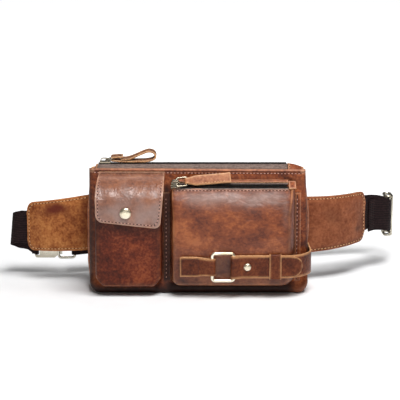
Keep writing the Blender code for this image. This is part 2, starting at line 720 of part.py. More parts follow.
def build_strap():
    height = STRAP_HEIGHT
    ring_y = STRAP_LOWER - STRAP_THICK / 2 - GAP - RING_WIRE / 2
    lower = [(123.9, 8.0), (123.9, -12.0), (124.2, -24.0), (121.5, -34.0), (114.0, -44.0), (104.0, -49.8),
             (92.0, STRAP_LOWER), (60.0, STRAP_LOWER), (44.0, STRAP_LOWER)]
    upper = [(42.6, -55.6), (45.8, -53.4), (48.2, STRAP_UPPER), (60.0, STRAP_UPPER), (76.0, STRAP_UPPER),
             (93.0, STRAP_UPPER), (98.0, -52.5), (104.6, -51.75), (107.6, -50.2), (109.6, -49.1),
             (STRAP_TIP, -48.65)]
    flat = lower + strap_turn(RING_X[1], True) + upper
    split = len(lower)

    def half(index):
        return STRAP_HALF if index < split + 6 else strap_tip(flat[index][0])

    made = ribbon("strap", [(x, y, height) for x, y in flat], half, STRAP_THICK, LEATHER_BROWN)
    hole = turned("strap_hole", [(0.0, 5.0), (1.9, 5.0), (1.9, -5.0), (0.0, -5.0)],
                  facing_front(RIVET_X, STRAP_UPPER, height), None, 12, CUTTERS)
    combine(made, hole, "DIFFERENCE")
    head = [(0.0, 2.2), (1.8, 2.0), (3.4, 1.5), (4.3, 0.6), (4.4, 0.0), (1.5, 0.0), (1.5, -4.1), (3.0, -4.1),
            (3.0, -4.7), (0.0, -4.7)]
    turned("strap_rivet", head, facing_front(RIVET_X, STRAP_UPPER - STRAP_THICK / 2 - GAP, height), METAL)

    low, high = height - RING_RAIL, height + RING_RAIL
    ring = rounded_rectangle((RING_X[0], low), (RING_X[1], high), RING_CHAMFER, 1)
    wire("strap_ring", [(x, ring_y, z) for x, z in ring], RING_WIRE, METAL)

    under = [(-19.0, STRAP_LOWER), (0.0, STRAP_LOWER), (9.0, STRAP_LOWER)]
    over = [(9.0, -55.6), (2.5, STRAP_UPPER), (-8.0, STRAP_UPPER), (-20.5, STRAP_UPPER)]
    tab = under + strap_turn(RING_X[0], False) + over

    def tab_half(index):
        x = tab[index][0]
        return 11.0 - 1.6 * min(1.0, max(0.0, (x + 5.0) / 15.0))

    ribbon("strap_anchor", [(x, y, height) for x, y in tab], tab_half, STRAP_THICK, LEATHER_BROWN)

    back = STRAP_LOWER + STRAP_THICK / 2 + GAP
    front = STRAP_UPPER - STRAP_THICK / 2 - GAP
    rim = STRAP_HALF + GAP
    hole_outline = [(front, height - rim), (back, height - rim), (back, height + rim), (front, height + rim)]
    outer = rounded_rectangle((front - 1.2, height - rim - 1.6), (back + 1.0, height + rim + 1.6), 0.9, 1)
    middle = sum(KEEPER_X) / 2
    place = frame_matrix((middle, 0.0, 0.0), (0.0, 1.0, 0.0), (0.0, 0.0, 1.0))
    plate("strap_keeper", [outer, hole_outline], KEEPER_X[1] - KEEPER_X[0], place, LEATHER_BROWN)


# ---------------------------------------------------------------- wings

LEFT_WING = [(-123.2, 17.4), (-146.0, 16.6), (-172.0, 20.0), (-197.0, 29.5)]
RIGHT_WING = [(123.2, 17.4), (149.0, 22.0), (173.0, 34.0), (193.5, 52.0)]
# centre height and half height, at the body and at the belt
LEFT_WING_HEIGHTS = ((70.6, 32.4), (63.2, 28.0))
RIGHT_WING_HEIGHTS = ((67.4, 32.8), (70.7, 29.4))


def path_lengths(path):
    total = [0.0]
    for a, b in zip(path, path[1:]):
        total.append(total[-1] + (Vector(b) - Vector(a)).length)
    return total


def wing_layer(name, route, heights, side, depth, span, shrink, thickness, finish):
    """One layer of a wing: a sheet along the route, at this depth behind the leather's middle."""
    path = offset_path(smooth_path(route, 3), side * depth)
    lengths = path_lengths(path)
    total = lengths[-1]
    first, last = span[0], total - span[1]

    def at(distance):
        for i in range(1, len(path)):
            if lengths[i] >= distance or i == len(path) - 1:
                share = (distance - lengths[i - 1]) / (lengths[i] - lengths[i - 1])
                return path[i - 1].lerp(path[i], share)
        return path[-1]

    def point(u, v):
        share = u / total
        centre = heights[0][0] + (heights[1][0] - heights[0][0]) * share
        half = heights[0][1] + (heights[1][1] - heights[0][1]) * share - shrink
        half -= round_in(last - u, WING_CORNER)
        spot = at(u)
        return (spot.x, spot.y, centre + v * half)

    return sheet(name, point, stations(first, last, 0.0, WING_CORNER, 6), (-1.0, 1.0), thickness, finish)


def build_wings():
    for name, route, heights, side in (("left", LEFT_WING, LEFT_WING_HEIGHTS, -1.0),
                                       ("right", RIGHT_WING, RIGHT_WING_HEIGHTS, 1.0)):
        pad = WING_LEATHER / 2 + WING_AIR + WING_PADDING / 2
        back = WING_LEATHER / 2 + 2 * WING_AIR + WING_PADDING + WING_BACKING / 2
        wing_layer(name + "_wing", route, heights, side, 0.0, (0.0, 0.0), 0.0, WING_LEATHER, LEATHER_TAN)
        wing_layer(name + "_wing_padding", route, heights, side, pad, (1.0, 31.0), 3.0, WING_PADDING, FOAM)
        wing_layer(name + "_wing_backing", route, heights, side, back, (0.0, 0.0), 0.6, WING_BACKING, CLOTH)


# ---------------------------------------------------------------- belt

WEBBING_DEPTH = WING_LEATHER / 2 + 2 * GAP + WEBBING / 2
LEFT_WEBBING_HEIGHTS = (62.0, 49.0)    # at the wing and at the crease
RIGHT_WEBBING_HEIGHT = 71.0            # at the wing
TAIL_SAG = 3.0                         # how far the belt's free end hangs below the layer behind it


def left_fixed_webbing():
    """Webbing from inside the left wing, round its fold and back towards the clasp."""
    sewn = [tuple(p) for p in offset_path(smooth_path(LEFT_WING, 4)[-5:], -WEBBING_DEPTH)]
    fold = arc((-206.6, 44.4), 10.1, 272, 110, 9)
    flat = sewn + fold + [(-205.5, 54.5), (BELT_HINGE[0] - CREASE, BELT_HINGE[1])]
    count = len(flat) - 1
    high, low = LEFT_WEBBING_HEIGHTS
    falls = [(high - low) * max(0.0, (i - 3) / (count - 3)) ** 1.5 for i in range(count + 1)]
    path = [(x, y, high - fall) for (x, y), fall in zip(flat, falls)]

    def lean(index):
        share = math.sin(math.pi * min(1.0, max(0.0, (index - 3) / (count - 3))))
        return Vector((0.12 * share, 0.0, 1.0))

    return ribbon("left_webbing", path, WEBBING_HALF, WEBBING, WEBBING_DARK, lean)


def left_webbing_end():
    """The end of the left webbing, folded round the clasp's hook plate."""
    pin_x, pin_y = HOOK_PIN
    radius = 2.7
    flat = [(BELT_HINGE[0] + CREASE, BELT_HINGE[1]), (-197.0, 54.5)] + arc((pin_x, pin_y), radius, -90, 90, 6)
    flat += [(-197.0, 59.7)]
    heights = [LEFT_WEBBING_HEIGHTS[1] - 0.5, 45.5] + [CLASP_HEIGHT] * 8
    return ribbon("left_webbing_end", [(x, y, z) for (x, y), z in zip(flat, heights)], WEBBING_HALF, WEBBING,
                  WEBBING_DARK)


def clasp_hook():
    """A stamped plate with a window for the webbing and a lip that catches the ring's bar."""
    shoulder = -167.0
    left, right = HOOK_PIN[0] - 1.0, -161.0
    tall, slim = 23.0, 18.5
    z = CLASP_HEIGHT
    outline = [(left, z - tall + 2), (left + 2, z - tall), (shoulder - 3, z - tall), (shoulder + 2, z - slim),
               (right, z - slim), (right, z + slim), (shoulder + 2, z + slim), (shoulder - 3, z + tall),
               (left + 2, z + tall), (left, z + tall - 2)]
    reach = WEBBING_HALF + 1.0
    window = [(left + 2.0, z - reach), (left + 5.5, z - reach), (left + 5.5, z + reach), (left + 2.0, z + reach)]
    place = frame_matrix((0.0, HOOK_PIN[1], 0.0), (1.0, 0.0, 0.0), (0.0, 0.0, 1.0))
    body = plate("clasp_hook", [outline, window], 1.6, place, METAL)
    lip = box("hook_lip", (right - 1.6, 51.2, z - slim + 1), (right - 0.1, 57.6, z + slim - 1), None, 0.3, CUTTERS)
    return combine(body, lip, "UNION")


def clasp_ring():
    low, high = CLASP_HEIGHT - CLASP_RAIL, CLASP_HEIGHT + CLASP_RAIL
    flat = rounded_rectangle((CLASP_RING_X[0], low), (CLASP_RING_X[1], high), 2.2, 2)
    slope = (CLASP_RING_Y[1] - CLASP_RING_Y[0]) / (CLASP_RING_X[1] - CLASP_RING_X[0])
    points = [(x, CLASP_RING_Y[0] + slope * (x - CLASP_RING_X[0]), z) for x, z in flat]
    return wire("clasp_ring", points, CLASP_WIRE, METAL)


def belt_middle():
    """Middle of the belt from the right wing, round the back, to the clasp's ring: x, y and height."""
    front = smooth_path([(198.6, 63.0, RIGHT_WEBBING_HEIGHT), (207.0, 71.0, 70.7), (218.0, 76.5, 69.0),
                         (225.5, 82.5, 66.5), (ADJUSTER_X, 91.0, 63.5)], 2)
    straight = [(ADJUSTER_X, ADJUSTER_Y, ADJUSTER_HEIGHT), (ADJUSTER_X, 121.0, 59.5)]
    bend = [(x, y, 59.0) for x, y in arc((ADJUSTER_X - 15.0, 121.0), 15.0, 15, 102.6, 6)]
    rear = [(195.0, 132.3, 58.3), (60.0, 102.1, 51.6), (-100.0, 66.2, 43.9), (-134.0, 58.6, 42.3)]
    return front + straight + bend + rear


def belt_strap():
    """One length of webbing: sewn into the right wing, round the ring's bar, and back in front of itself.

    It is in five nodes: from the wing round the bend, along the rear, round the ring's bar, back along the rear, and
    back round the bend to the loose end.
    """
    middle = belt_middle()
    sewn = offset_path(smooth_path(RIGHT_WING, 4)[-5:], WEBBING_DEPTH)
    start = [(p[0], p[1], RIGHT_WEBBING_HEIGHT) for p in sewn]
    inner = offset_path(middle, LAYER_OFFSET)
    outer = offset_path(middle, -LAYER_OFFSET)
    step = (Vector(middle[-1]) - Vector(middle[-2])).normalized() * CUT_GAP
    ring = (CLASP_RING_X[1], CLASP_RING_Y[1])
    turn = [Vector((x, y, CLASP_HEIGHT)) for x, y in arc(ring, CLASP_WIRE / 2 + GAP + WEBBING / 2, -80, -280, 7)]
    tail = [(x, y, z - TAIL_SAG * max(0.0, 1.0 - i / 12)) for i, (x, y, z) in enumerate(outer)]
    cut = len(middle) - 4
    past = (Vector(middle[cut + 1]) - Vector(middle[cut])).normalized() * CUT_GAP
    ribbon("belt_strap", start + inner[1:cut + 1], WEBBING_HALF, WEBBING, WEBBING_DARK)
    rear = [inner[cut] + past] + inner[cut + 1:]
    ribbon("belt_strap_rear", rear, WEBBING_HALF, WEBBING, WEBBING_DARK)
    ribbon("belt_strap_turn", [inner[-1] + step] + turn + [outer[-1] + step], WEBBING_HALF, WEBBING, WEBBING_DARK)
    back = [Vector(tail[cut]) + past] + tail[cut + 1:]
    ribbon("belt_strap_tail", list(reversed(back)), WEBBING_HALF, WEBBING, WEBBING_DARK)
    ribbon("belt_strap_end", list(reversed(tail[1:cut + 1])), WEBBING_HALF, WEBBING, WEBBING_DARK)


def adjuster():
    """A slide frame: two rails and three bars that the doubled belt weaves between."""
    bar_radius = 1.5
    out = LAYER_OFFSET + WEBBING / 2 + GAP + bar_radius
    rail_z = WEBBING_HALF + 4.5
    reach = 11.0
    rails = []
    for sign in (-1.0, 1.0):
        z = ADJUSTER_HEIGHT + sign * (rail_z + 1.5)
        low = (ADJUSTER_X - out - bar_radius, ADJUSTER_Y - reach, z - 1.7)
        high = (ADJUSTER_X + out + bar_radius, ADJUSTER_Y + reach, z + 1.7)
        where = PARTS if sign < 0 else CUTTERS
        rails.append(box("adjuster_frame" if sign < 0 else "adjuster_rail", low, high, METAL, 1.0, where))
    frame = combine(rails[0], rails[1], "UNION")
    for number, (side, y) in enumerate(((1.0, -8.5), (-1.0, 0.0), (1.0, 8.5))):
        foot = (ADJUSTER_X + side * out, ADJUSTER_Y + y, ADJUSTER_HEIGHT)
        place = frame_matrix(foot, (1.0, 0.0, 0.0), (0.0, 1.0, 0.0))
        half = rail_z + 1.0
        profile = [(0.0, half), (bar_radius, half), (bar_radius, -half), (0.0, -half)]
        bar = turned("adjuster_bar_%d" % number, profile, place, None, 10, CUTTERS)
        combine(frame, bar, "UNION")
    return frame


def build_belt():
    left_fixed_webbing()
    left_webbing_end()
    clasp_hook()
    clasp_ring()
    belt_strap()
    adjuster()


build_body()
build_main_zip()
build_main_slider()
build_pockets()
build_pocket_zip()
build_pocket_slider()
build_strap()
build_wings()
build_belt()
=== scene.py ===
"""Looks of the leather waist pack: worn waxed leather, dark webbing, coil zips and pale brass fittings.

Helpers take millimetres in the pack's own frame, as the model's source does; meshes are in metres.
"""

import math

import bmesh
import bpy
import numpy as np
from mathutils import Matrix, Vector, noise


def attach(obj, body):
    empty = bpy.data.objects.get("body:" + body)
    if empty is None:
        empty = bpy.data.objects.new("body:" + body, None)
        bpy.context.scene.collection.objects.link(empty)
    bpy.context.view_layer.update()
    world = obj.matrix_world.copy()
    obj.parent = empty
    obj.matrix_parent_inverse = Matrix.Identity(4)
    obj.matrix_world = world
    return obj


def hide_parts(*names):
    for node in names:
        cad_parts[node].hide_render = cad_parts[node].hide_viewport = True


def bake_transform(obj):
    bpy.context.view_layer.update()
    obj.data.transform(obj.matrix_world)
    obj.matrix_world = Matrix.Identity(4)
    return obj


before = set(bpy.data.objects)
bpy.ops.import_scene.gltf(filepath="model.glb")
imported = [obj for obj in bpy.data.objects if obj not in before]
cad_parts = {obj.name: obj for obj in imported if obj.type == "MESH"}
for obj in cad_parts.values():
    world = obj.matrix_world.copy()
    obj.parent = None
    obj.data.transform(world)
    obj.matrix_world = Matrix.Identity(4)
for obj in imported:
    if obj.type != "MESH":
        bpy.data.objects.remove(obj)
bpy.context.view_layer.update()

MM = 0.001
GAP = 0.3                       # air between two neighbouring pieces

# Body
BODY_HEIGHT = 136.0
BASE_HALF_WIDTH = 122.0
WIDTH_TAPER = 4.0
BASE_HALF_DEPTH = 25.0
DEPTH_TAPER = 6.0
CORNER_RADIUS = 12.0
LEATHER = 2.0
SEAM_ROLL = 5.0                 # radius that the front and back panels turn in with at their seams
BASE_SAG = 5.0                  # how far the front panel's foot has settled forward
BODY_MIDDLE = Vector((0.0, 0.0, 60.0))
TOP_STITCHES = 131.4
HEM_CREASE = 133.0              # height of the dark line painted below the panels' top hem, as shade under its roll

# Zips
RIDGE_HEIGHT = 142.2
TAPE = 0.8
MAIN_CHAIN = (-112.0, 98.0)
POCKET_CHAIN = (-25.0, 98.0)
CHAIN_MIDDLE = 6.3              # from the pocket's leather edge to the middle of its chain
ZIP_EDGE = Vector((0.0, -32.3, 118.0))
ZIP_ACROSS = Vector((0.0, 0.85, 0.53)).normalized()
ZIP_NORMAL = Vector((0.0, -0.53, 0.85)).normalized()

# Pockets
FLAP_POCKET_X = (-114.0, -40.0)
FLAP_POCKET_Z = (10.0, 110.0)
FLAP_POCKET_FACE = -47.0
FLAP_POCKET_BASE = 7.0          # height of a pocket's turn at its base
FLAP_POCKET_MIDDLE = -77.0
ZIP_POCKET_X = (-31.0, 106.0)
ZIP_POCKET_Z = (11.0, 119.2)
ZIP_POCKET_FACE = -48.5
ZIP_POCKET_BASE = 9.0
ZIP_POCKET_MOUTH = -32.3
FULL_HEIGHT = 52.0              # up to here the zip pocket is at its full depth
RIM_GAP = 0.4                   # from the front panel to a pocket's sewn rim
FLAP_X = (-112.3, -41.2)
FLAP_LEAN = 3.4                 # how far the flap's fold lies to the right of its lower edge
FLAP_CORNER = 8.0
SNAP = (-79.3, 96.5)

# Strap across the zip pocket
STRAP_HEIGHT = 37.0
STRAP_HALF = 12.6
STRAP_THICK = 1.6
STRAP_LOWER = -50.9
STRAP_UPPER = -52.8
RING_WIRE = 3.4
RING_X = (14.7, 38.3)
RING_RAIL = 15.3
RING_Y = STRAP_LOWER - STRAP_THICK / 2 - GAP - RING_WIRE / 2
RIVET_X = 53.0
KEEPER_X = (77.0, 90.0)
STRAP_TIP = 113.0

# Wings and belt
LEFT_WING = [(-123.2, 17.4), (-146.0, 16.6), (-172.0, 20.0), (-197.0, 29.5)]
RIGHT_WING = [(120.4, 17.0), (149.0, 22.0), (173.0, 34.0), (193.5, 52.0)]
LEFT_WING_HEIGHTS = ((70.6, 32.4), (63.2, 28.0))
RIGHT_WING_HEIGHTS = ((67.4, 32.8), (70.7, 29.4))
WING_CORNER = 8.0
PADDING_DEPTH = 3.0             # behind the wing leather's middle
BACKING_DEPTH = 5.6
WEBBING = 2.0
WEBBING_HALF = 19.0
WEBBING_DEPTH = 2.6             # behind the wing leather's middle
LAYER_OFFSET = 1.2              # from the middle of the doubled belt to each layer's middle
BELT_HINGE = (-202.3, 54.5)
HOOK_PIN = (-192.0, 57.2)
CREASE = 1.3                    # from the left webbing's hinge to each end of its crease
LEFT_WEBBING_HEIGHTS = (62.0, 49.0)
RIGHT_WEBBING_HEIGHT = 71.0
TAIL_SAG = 3.0
CLASP_HEIGHT = 42.0
CLASP_RING_X = (-164.7, -146.0)
CLASP_RING_Y = (54.4, 56.0)
CLASP_WIRE = 3.0
CLASP_RAIL = 22.4
ADJUSTER = Vector((228.0, 106.0, 60.0))

# Camera, in metres and degrees
CAMERA_PLACE = (0.0014, -1.3455, 0.3864)
CAMERA_PITCH = 12.0
CAMERA_LENS = 110.45


# ---------------------------------------------------------------- finishes

def screen(red, green, blue):
    """A colour given as it looks on a screen, 0 to 255, as the linear values that shaders take."""
    linear = [((c / 255.0 + 0.055) / 1.055) ** 2.4 for c in (red, green, blue)]
    return (*linear, 1.0)


class Finish:
    """A node material in the making, with short names for the nodes it uses."""

    def __init__(self, name, slot, roughness=0.5, metallic=0.0):
        self.material = bpy.data.materials.new(name)
        self.material.use_nodes = True
        self.slot = slot
        self.tree = self.material.node_tree
        self.shader = self.tree.nodes["Principled BSDF"]
        self.shader.inputs["Roughness"].default_value = roughness
        self.shader.inputs["Metallic"].default_value = metallic
        self.place = self.tree.nodes.new("ShaderNodeTexCoord").outputs["Object"]

    def hold(self):
        """Reads each point's place at rest, so that the pattern stays put where a piece bends at a joint."""
        node = self.tree.nodes.new("ShaderNodeAttribute")
        node.attribute_name = "rest"
        self.place = node.outputs["Vector"]
        return self

    def constants(self, **values):
        for name, value in values.items():
            self.shader.inputs[name.replace("_", " ")].default_value = value

    def feed(self, socket, value):
        if isinstance(value, bpy.types.NodeSocket):
            self.tree.links.new(value, socket)
        else:
            socket.default_value = value

    def stretched(self, scale):
        node = self.tree.nodes.new("ShaderNodeMapping")
        self.tree.links.new(self.place, node.inputs["Vector"])
        node.inputs["Scale"].default_value = scale
        return node.outputs["Vector"]

    def noise(self, scale, detail=4.0, distortion=0.0, stretch=None):
        """Noise with this many features to a metre."""
        node = self.tree.nodes.new("ShaderNodeTexNoise")
        self.tree.links.new(self.stretched(stretch) if stretch else self.place, node.inputs["Vector"])
        node.inputs["Scale"].default_value = scale
        node.inputs["Detail"].default_value = detail
        node.inputs["Distortion"].default_value = distortion
        return node.outputs["Fac"]

    def cells(self, scale, stretch=None):
        """Distance from the middle of small cells, as leather's pebbled grain."""
        node = self.tree.nodes.new("ShaderNodeTexVoronoi")
        node.feature = "SMOOTH_F1"
        self.tree.links.new(self.stretched(stretch) if stretch else self.place, node.inputs["Vector"])
        node.inputs["Scale"].default_value = scale
        return node.outputs["Distance"]

    def math(self, operation, first, second=0.0):
        node = self.tree.nodes.new("ShaderNodeMath")
        node.operation = operation
        self.feed(node.inputs[0], first)
        self.feed(node.inputs[1], second)
        return node.outputs[0]

    def remap(self, value, low, high, to_low, to_high):
        node = self.tree.nodes.new("ShaderNodeMapRange")
        self.feed(node.inputs["Value"], value)
        for name, number in (("From Min", low), ("From Max", high), ("To Min", to_low), ("To Max", to_high)):
            node.inputs[name].default_value = number
        return node.outputs["Result"]

    def ramp(self, value, stops):
        node = self.tree.nodes.new("ShaderNodeValToRGB")
        while len(node.color_ramp.elements) < len(stops):
            node.color_ramp.elements.new(0.5)
        for element, (position, color) in zip(node.color_ramp.elements, stops):
            element.position = position
            element.color = color
        self.tree.links.new(value, node.inputs["Fac"])
        return node.outputs["Color"]

    def mix(self, factor, first, second, mode="MIX"):
        node = self.tree.nodes.new("ShaderNodeMix")
        node.data_type = "RGBA"
        node.blend_type = mode
        self.feed(node.inputs[0], factor)
        self.feed(node.inputs[6], first)
        self.feed(node.inputs[7], second)
        return node.outputs[2]

    def attribute(self, name):
        node = self.tree.nodes.new("ShaderNodeAttribute")
        node.attribute_name = name
        return node.outputs["Fac"]

    def total(self, *terms):
        """Sum of values, each given with its share."""
        parts = [self.math("MULTIPLY", value, share) for value, share in terms]
        result = parts[0]
        for part in parts[1:]:
            result = self.math("ADD", result, part)
        return result

    def wave(self, value, period):
        """A sine over a length in millimetres."""
        return self.math("SINE", self.math("MULTIPLY", value, 2 * math.pi / period))

    def bump(self, height, depth, strength=1.0):
        node = self.tree.nodes.new("ShaderNodeBump")
        node.inputs["Distance"].default_value = depth * MM
        node.inputs["Strength"].default_value = strength
        self.tree.links.new(height, node.inputs["Height"])
        self.tree.links.new(node.outputs["Normal"], self.shader.inputs["Normal"])

    def color(self, value):
        self.feed(self.shader.inputs["Base Color"], value)

    def rough(self, value):
        self.feed(self.shader.inputs["Roughness"], value)


def leather(name, slot, dark, middle, light, worn, roughness=0.5, nap=0.0, stretch=(1.0, 1.0, 1.0), shine=0.3,
            fine=0.36, stained=None):
    """Waxed leather: cloudy colour, a mottle a few millimetres across, fine grain, paler rubbed edges, a
    painted sheen and painted shade.

    Colours are as they look on a screen, 0 to 255. nap is how much of the shine is lost to a brushed surface,
    fine the share of the smallest specks, and stained the colour of stains and of painted shade in hollows.
    """
    dark, middle, light, worn = (screen(*color) for color in (dark, middle, light, worn))
    made = Finish(name, slot).hold()
    clouds = made.noise(26.0, 3.0, 0.9, stretch)
    mottle = made.noise(135.0, 5.0, 0.6, stretch)
    specks = made.noise(400.0, 3.0, 0.3, stretch)
    grain = made.cells(720.0, stretch)
    level = made.total((clouds, 0.72 - fine), (mottle, 0.28), (specks, fine))
    tone = made.ramp(level, [(0.38, dark), (0.5, middle), (0.62, light)])
    # Painted sheen: a pale grey-pink haze, mixed in by a per-point attribute, stands in for the reflection of
    # the lights.
    sheen_tone = made.mix(level, screen(96, 66, 55), screen(162, 131, 120))
    tone = made.mix(made.attribute("painted_sheen"), tone, sheen_tone)
    rubbed = made.math("MULTIPLY", made.attribute("wear"), made.remap(mottle, 0.3, 0.6, 0.55, 1.0))
    tone = made.mix(rubbed, tone, worn)
    # Painted shade: hollows, gaps between parts and the pockets' lower parts mix towards this deep tone of the
    # dark colour; real stains use the same mix.
    shade_tone = tuple(0.22 * c for c in dark[:3]) + (1.0,)
    made.color(made.mix(made.attribute("shade_and_stain"), tone, screen(*stained) if stained else shade_tone))
    made.rough(made.remap(level, 0.4, 0.6, roughness + 0.1, roughness - 0.04))
    folds = made.noise(70.0, 4.0, 1.4, stretch)
    made.bump(made.total((grain, 0.3), (folds, 2.6), (mottle, 0.9)), 0.6, 0.6 + 0.2 * nap)
    made.constants(Specular_IOR_Level=shine * (1.0 - 0.6 * nap), Coat_Weight=0.3 * shine * (1.0 - nap),
                   Coat_Roughness=0.3, Sheen_Weight=0.08 * nap, Sheen_Roughness=0.5)
    return made


def raw_edge():
    """The cut edge of vegetable-tanned leather."""
    made = Finish("leather_cut_edge", "leather_main", 0.7).hold()
    fibre = made.noise(600.0, 4.0, 0.5)
    stops = [(0.3, screen(120, 72, 42)), (0.5, screen(186, 134, 88)), (0.7, screen(216, 172, 124))]
    made.color(made.ramp(fibre, stops))
    made.bump(fibre, 0.3)
    return made


def webbing():
    """Heavy woven webbing, from the distances along and across each strap."""
    made = Finish("dark_webbing", "webbing", 0.72).hold()
    along, across = made.attribute("along"), made.attribute("across")
    ribs = made.wave(across, 2.1)
    picks = made.wave(made.total((along, 1.0), (ribs, 0.35)), 1.7)
    height = made.total((ribs, 0.6), (picks, 0.4))
    fuzz = made.noise(500.0, 4.0)
    level = made.total((made.remap(height, -1.0, 1.0, 0.0, 0.6), 1.0), (fuzz, 0.5))
    stops = [(0.25, screen(8, 4, 5)), (0.6, screen(30, 17, 18)), (0.9, screen(56, 38, 38))]
    made.color(made.ramp(level, stops))
    made.bump(made.total((height, 1.0), (fuzz, 1.0)), 0.22)
    made.constants(Specular_IOR_Level=0.12)
    return made


def cloth(name, slot, dark, light, period=0.9, depth=0.12):
    """Plain weave cloth, its threads this far apart, in the frame's own directions."""
    made = Finish(name, slot, 0.85).hold()
    split = made.tree.nodes.new("ShaderNodeSeparateXYZ")
    made.tree.links.new(made.place, split.inputs[0])
    waves = [made.wave(made.math("MULTIPLY", split.outputs[i], 1000.0), period) for i in range(3)]
    height = made.math("MULTIPLY", waves[0], made.total((waves[1], 1.0), (waves[2], 1.0)))
    fuzz = made.noise(350.0, 5.0)
    level = made.total((made.remap(height, -2.0, 2.0, 0.0, 0.5), 1.0), (fuzz, 0.6))
    made.color(made.ramp(level, [(0.3, screen(*dark)), (0.8, screen(*light))]))
    made.bump(made.total((height, 1.0), (fuzz, 1.0)), depth)
    made.constants(Specular_IOR_Level=0.2)
    return made


def metal(name, slot, dull, bright, roughness):
    """Plated metal with handling marks."""
    made = Finish(name, slot, roughness, 1.0)
    smear = made.noise(30.0, 3.0, 0.1)
    scratch = made.noise(420.0, 3.0, 0.2, (6.0, 1.0, 1.0))
    made.color(made.ramp(smear, [(0.32, screen(*dull)), (0.62, screen(*bright))]))
    made.rough(made.remap(smear, 0.3, 0.7, roughness + 0.08, roughness - 0.03))
    made.bump(scratch, 0.03, 0.4)
    return made


def plain(name, slot, dark, light, scale, roughness, depth):
    """Thread, coil nylon and foam: two close tones over small noise."""
    made = Finish(name, slot, roughness)
    grit = made.noise(scale, 4.0)
    made.color(made.ramp(grit, [(0.35, screen(*dark)), (0.65, screen(*light))]))
    made.bump(grit, depth)
    return made


BODY_LEATHER = leather("waxed_leather", "leather_main", (72, 26, 10), (122, 58, 27), (162, 89, 47),
                       (202, 150, 118), roughness=0.48, shine=0.25)
POCKET_LEATHER = leather("pocket_leather", "leather_main", (76, 29, 10), (116, 56, 27), (151, 85, 46),
                         (198, 138, 96), roughness=0.4, stretch=(0.8, 1.0, 1.1), shine=0.42, fine=0.27)
LOW_LEATHER = leather("dark_pocket_leather", "leather_main", (56, 17, 6), (92, 34, 13), (130, 61, 30),
                      (178, 112, 74), roughness=0.46, shine=0.2)
FLAP_LEATHER = leather("flap_leather", "leather_flap", (88, 46, 29), (126, 75, 50), (150, 98, 69),
                       (190, 144, 116), roughness=0.32, shine=0.5, fine=0.3)
LEFT_NUBUCK = leather("tan_nubuck", "leather_wing", (108, 52, 20), (154, 90, 44), (186, 122, 66),
                      (192, 128, 78), roughness=0.62, nap=0.8, stained=(84, 26, 12))
RIGHT_NUBUCK = leather("brown_nubuck", "leather_wing", (98, 48, 24), (124, 67, 39), (146, 86, 54),
                       (170, 106, 70), roughness=0.6, nap=0.7)
STRAP_LEATHER = leather("strap_leather", "leather_main", (56, 21, 8), (88, 38, 15), (115, 57, 27),
                        (204, 150, 102), roughness=0.46, shine=0.2)
PULL_LEATHER = leather("pull_leather", "leather_pull", (100, 50, 25), (144, 84, 50), (172, 112, 72),
                       (206, 156, 112), roughness=0.5, nap=0.3)
MAIN_PULL_LEATHER = leather("main_pull_leather", "leather_pull", (66, 38, 22), (108, 66, 40),
                            (146, 98, 62), (206, 170, 132), roughness=0.5, nap=0.3)
CUT_EDGE = raw_edge()
WEB = webbing()
ZIP_TAPE = cloth("zip_tape_twill", "zip_tape", (66, 52, 47), (158, 136, 126), 0.8)
LINING = cloth("lining_cotton", "lining_cloth", (40, 32, 28), (78, 66, 58), 0.7)
BACKING = cloth("wing_backing_mesh", "lining_cloth", (20, 18, 18), (62, 56, 54), 2.2, 0.35)
COIL = plain("coil_nylon", "zip_teeth", (10, 7, 6), (34, 26, 23), 300.0, 0.5, 0.03)
FOAM = plain("foam", "padding", (120, 116, 108), (168, 162, 150), 900.0, 0.9, 0.3)
THREAD_TAN = plain("tan_thread", "leather_main", (172, 122, 78), (222, 178, 128), 1500.0, 0.8, 0.12)
THREAD_BROWN = plain("brown_thread", "leather_main", (50, 18, 12), (88, 38, 24), 1500.0, 0.8, 0.12)
THREAD_ROSE = plain("rose_thread", "leather_main", (150, 102, 88), (212, 166, 148), 1500.0, 0.8, 0.12)
# Painted shade laid under the stitch lines.
STITCH_SHADE = plain("stitch_shade_line", "leather_main", (34, 12, 7), (64, 28, 16), 1500.0, 0.9, 0.05)
THREAD_BLACK = plain("black_thread", "webbing", (6, 4, 4), (24, 18, 18), 1500.0, 0.8, 0.12)
BRASS = metal("pale_brass", "metal_gold", (206, 190, 156), (255, 248, 228), 0.3)
TARNISHED = metal("tarnished_brass", "metal_gold", (92, 82, 68), (178, 168, 148), 0.22)
NICKEL = metal("aged_nickel", "metal_nickel", (168, 160, 142), (226, 220, 204), 0.24)


# ---------------------------------------------------------------- shapes

def steps(low, high, size):
    """Values from low to high, about this far apart."""
    count = max(1, round(abs(high - low) / size))
    return [low + (high - low) * i / count for i in range(count + 1)]


def round_in(distance, radius):
    """How far a rounded corner has pulled an edge in, this far from the corner's end."""
    if distance >= radius:
        return 0.0
    return radius - math.sqrt(max(0.0, radius ** 2 - (radius - distance) ** 2))


def ease(value, low, high):
    """0 up to low, 1 from high on and smooth between them; with low above high it falls instead of rising."""
    share = min(1.0, max(0.0, (value - low) / (high - low)))
    return share * share * (3.0 - 2.0 * share)


def hump(value, middle, spread, power=2):
    """1 in the middle, fading to 0 at about twice this spread from it."""
    return math.exp(-((value - middle) / spread) ** power)


def ripple(place, size, seed=0.0):
    """Smooth noise from -1 to 1 that changes over this distance."""
    return noise.noise(Vector(place) / size + Vector((seed, 0.7 * seed, -seed)))


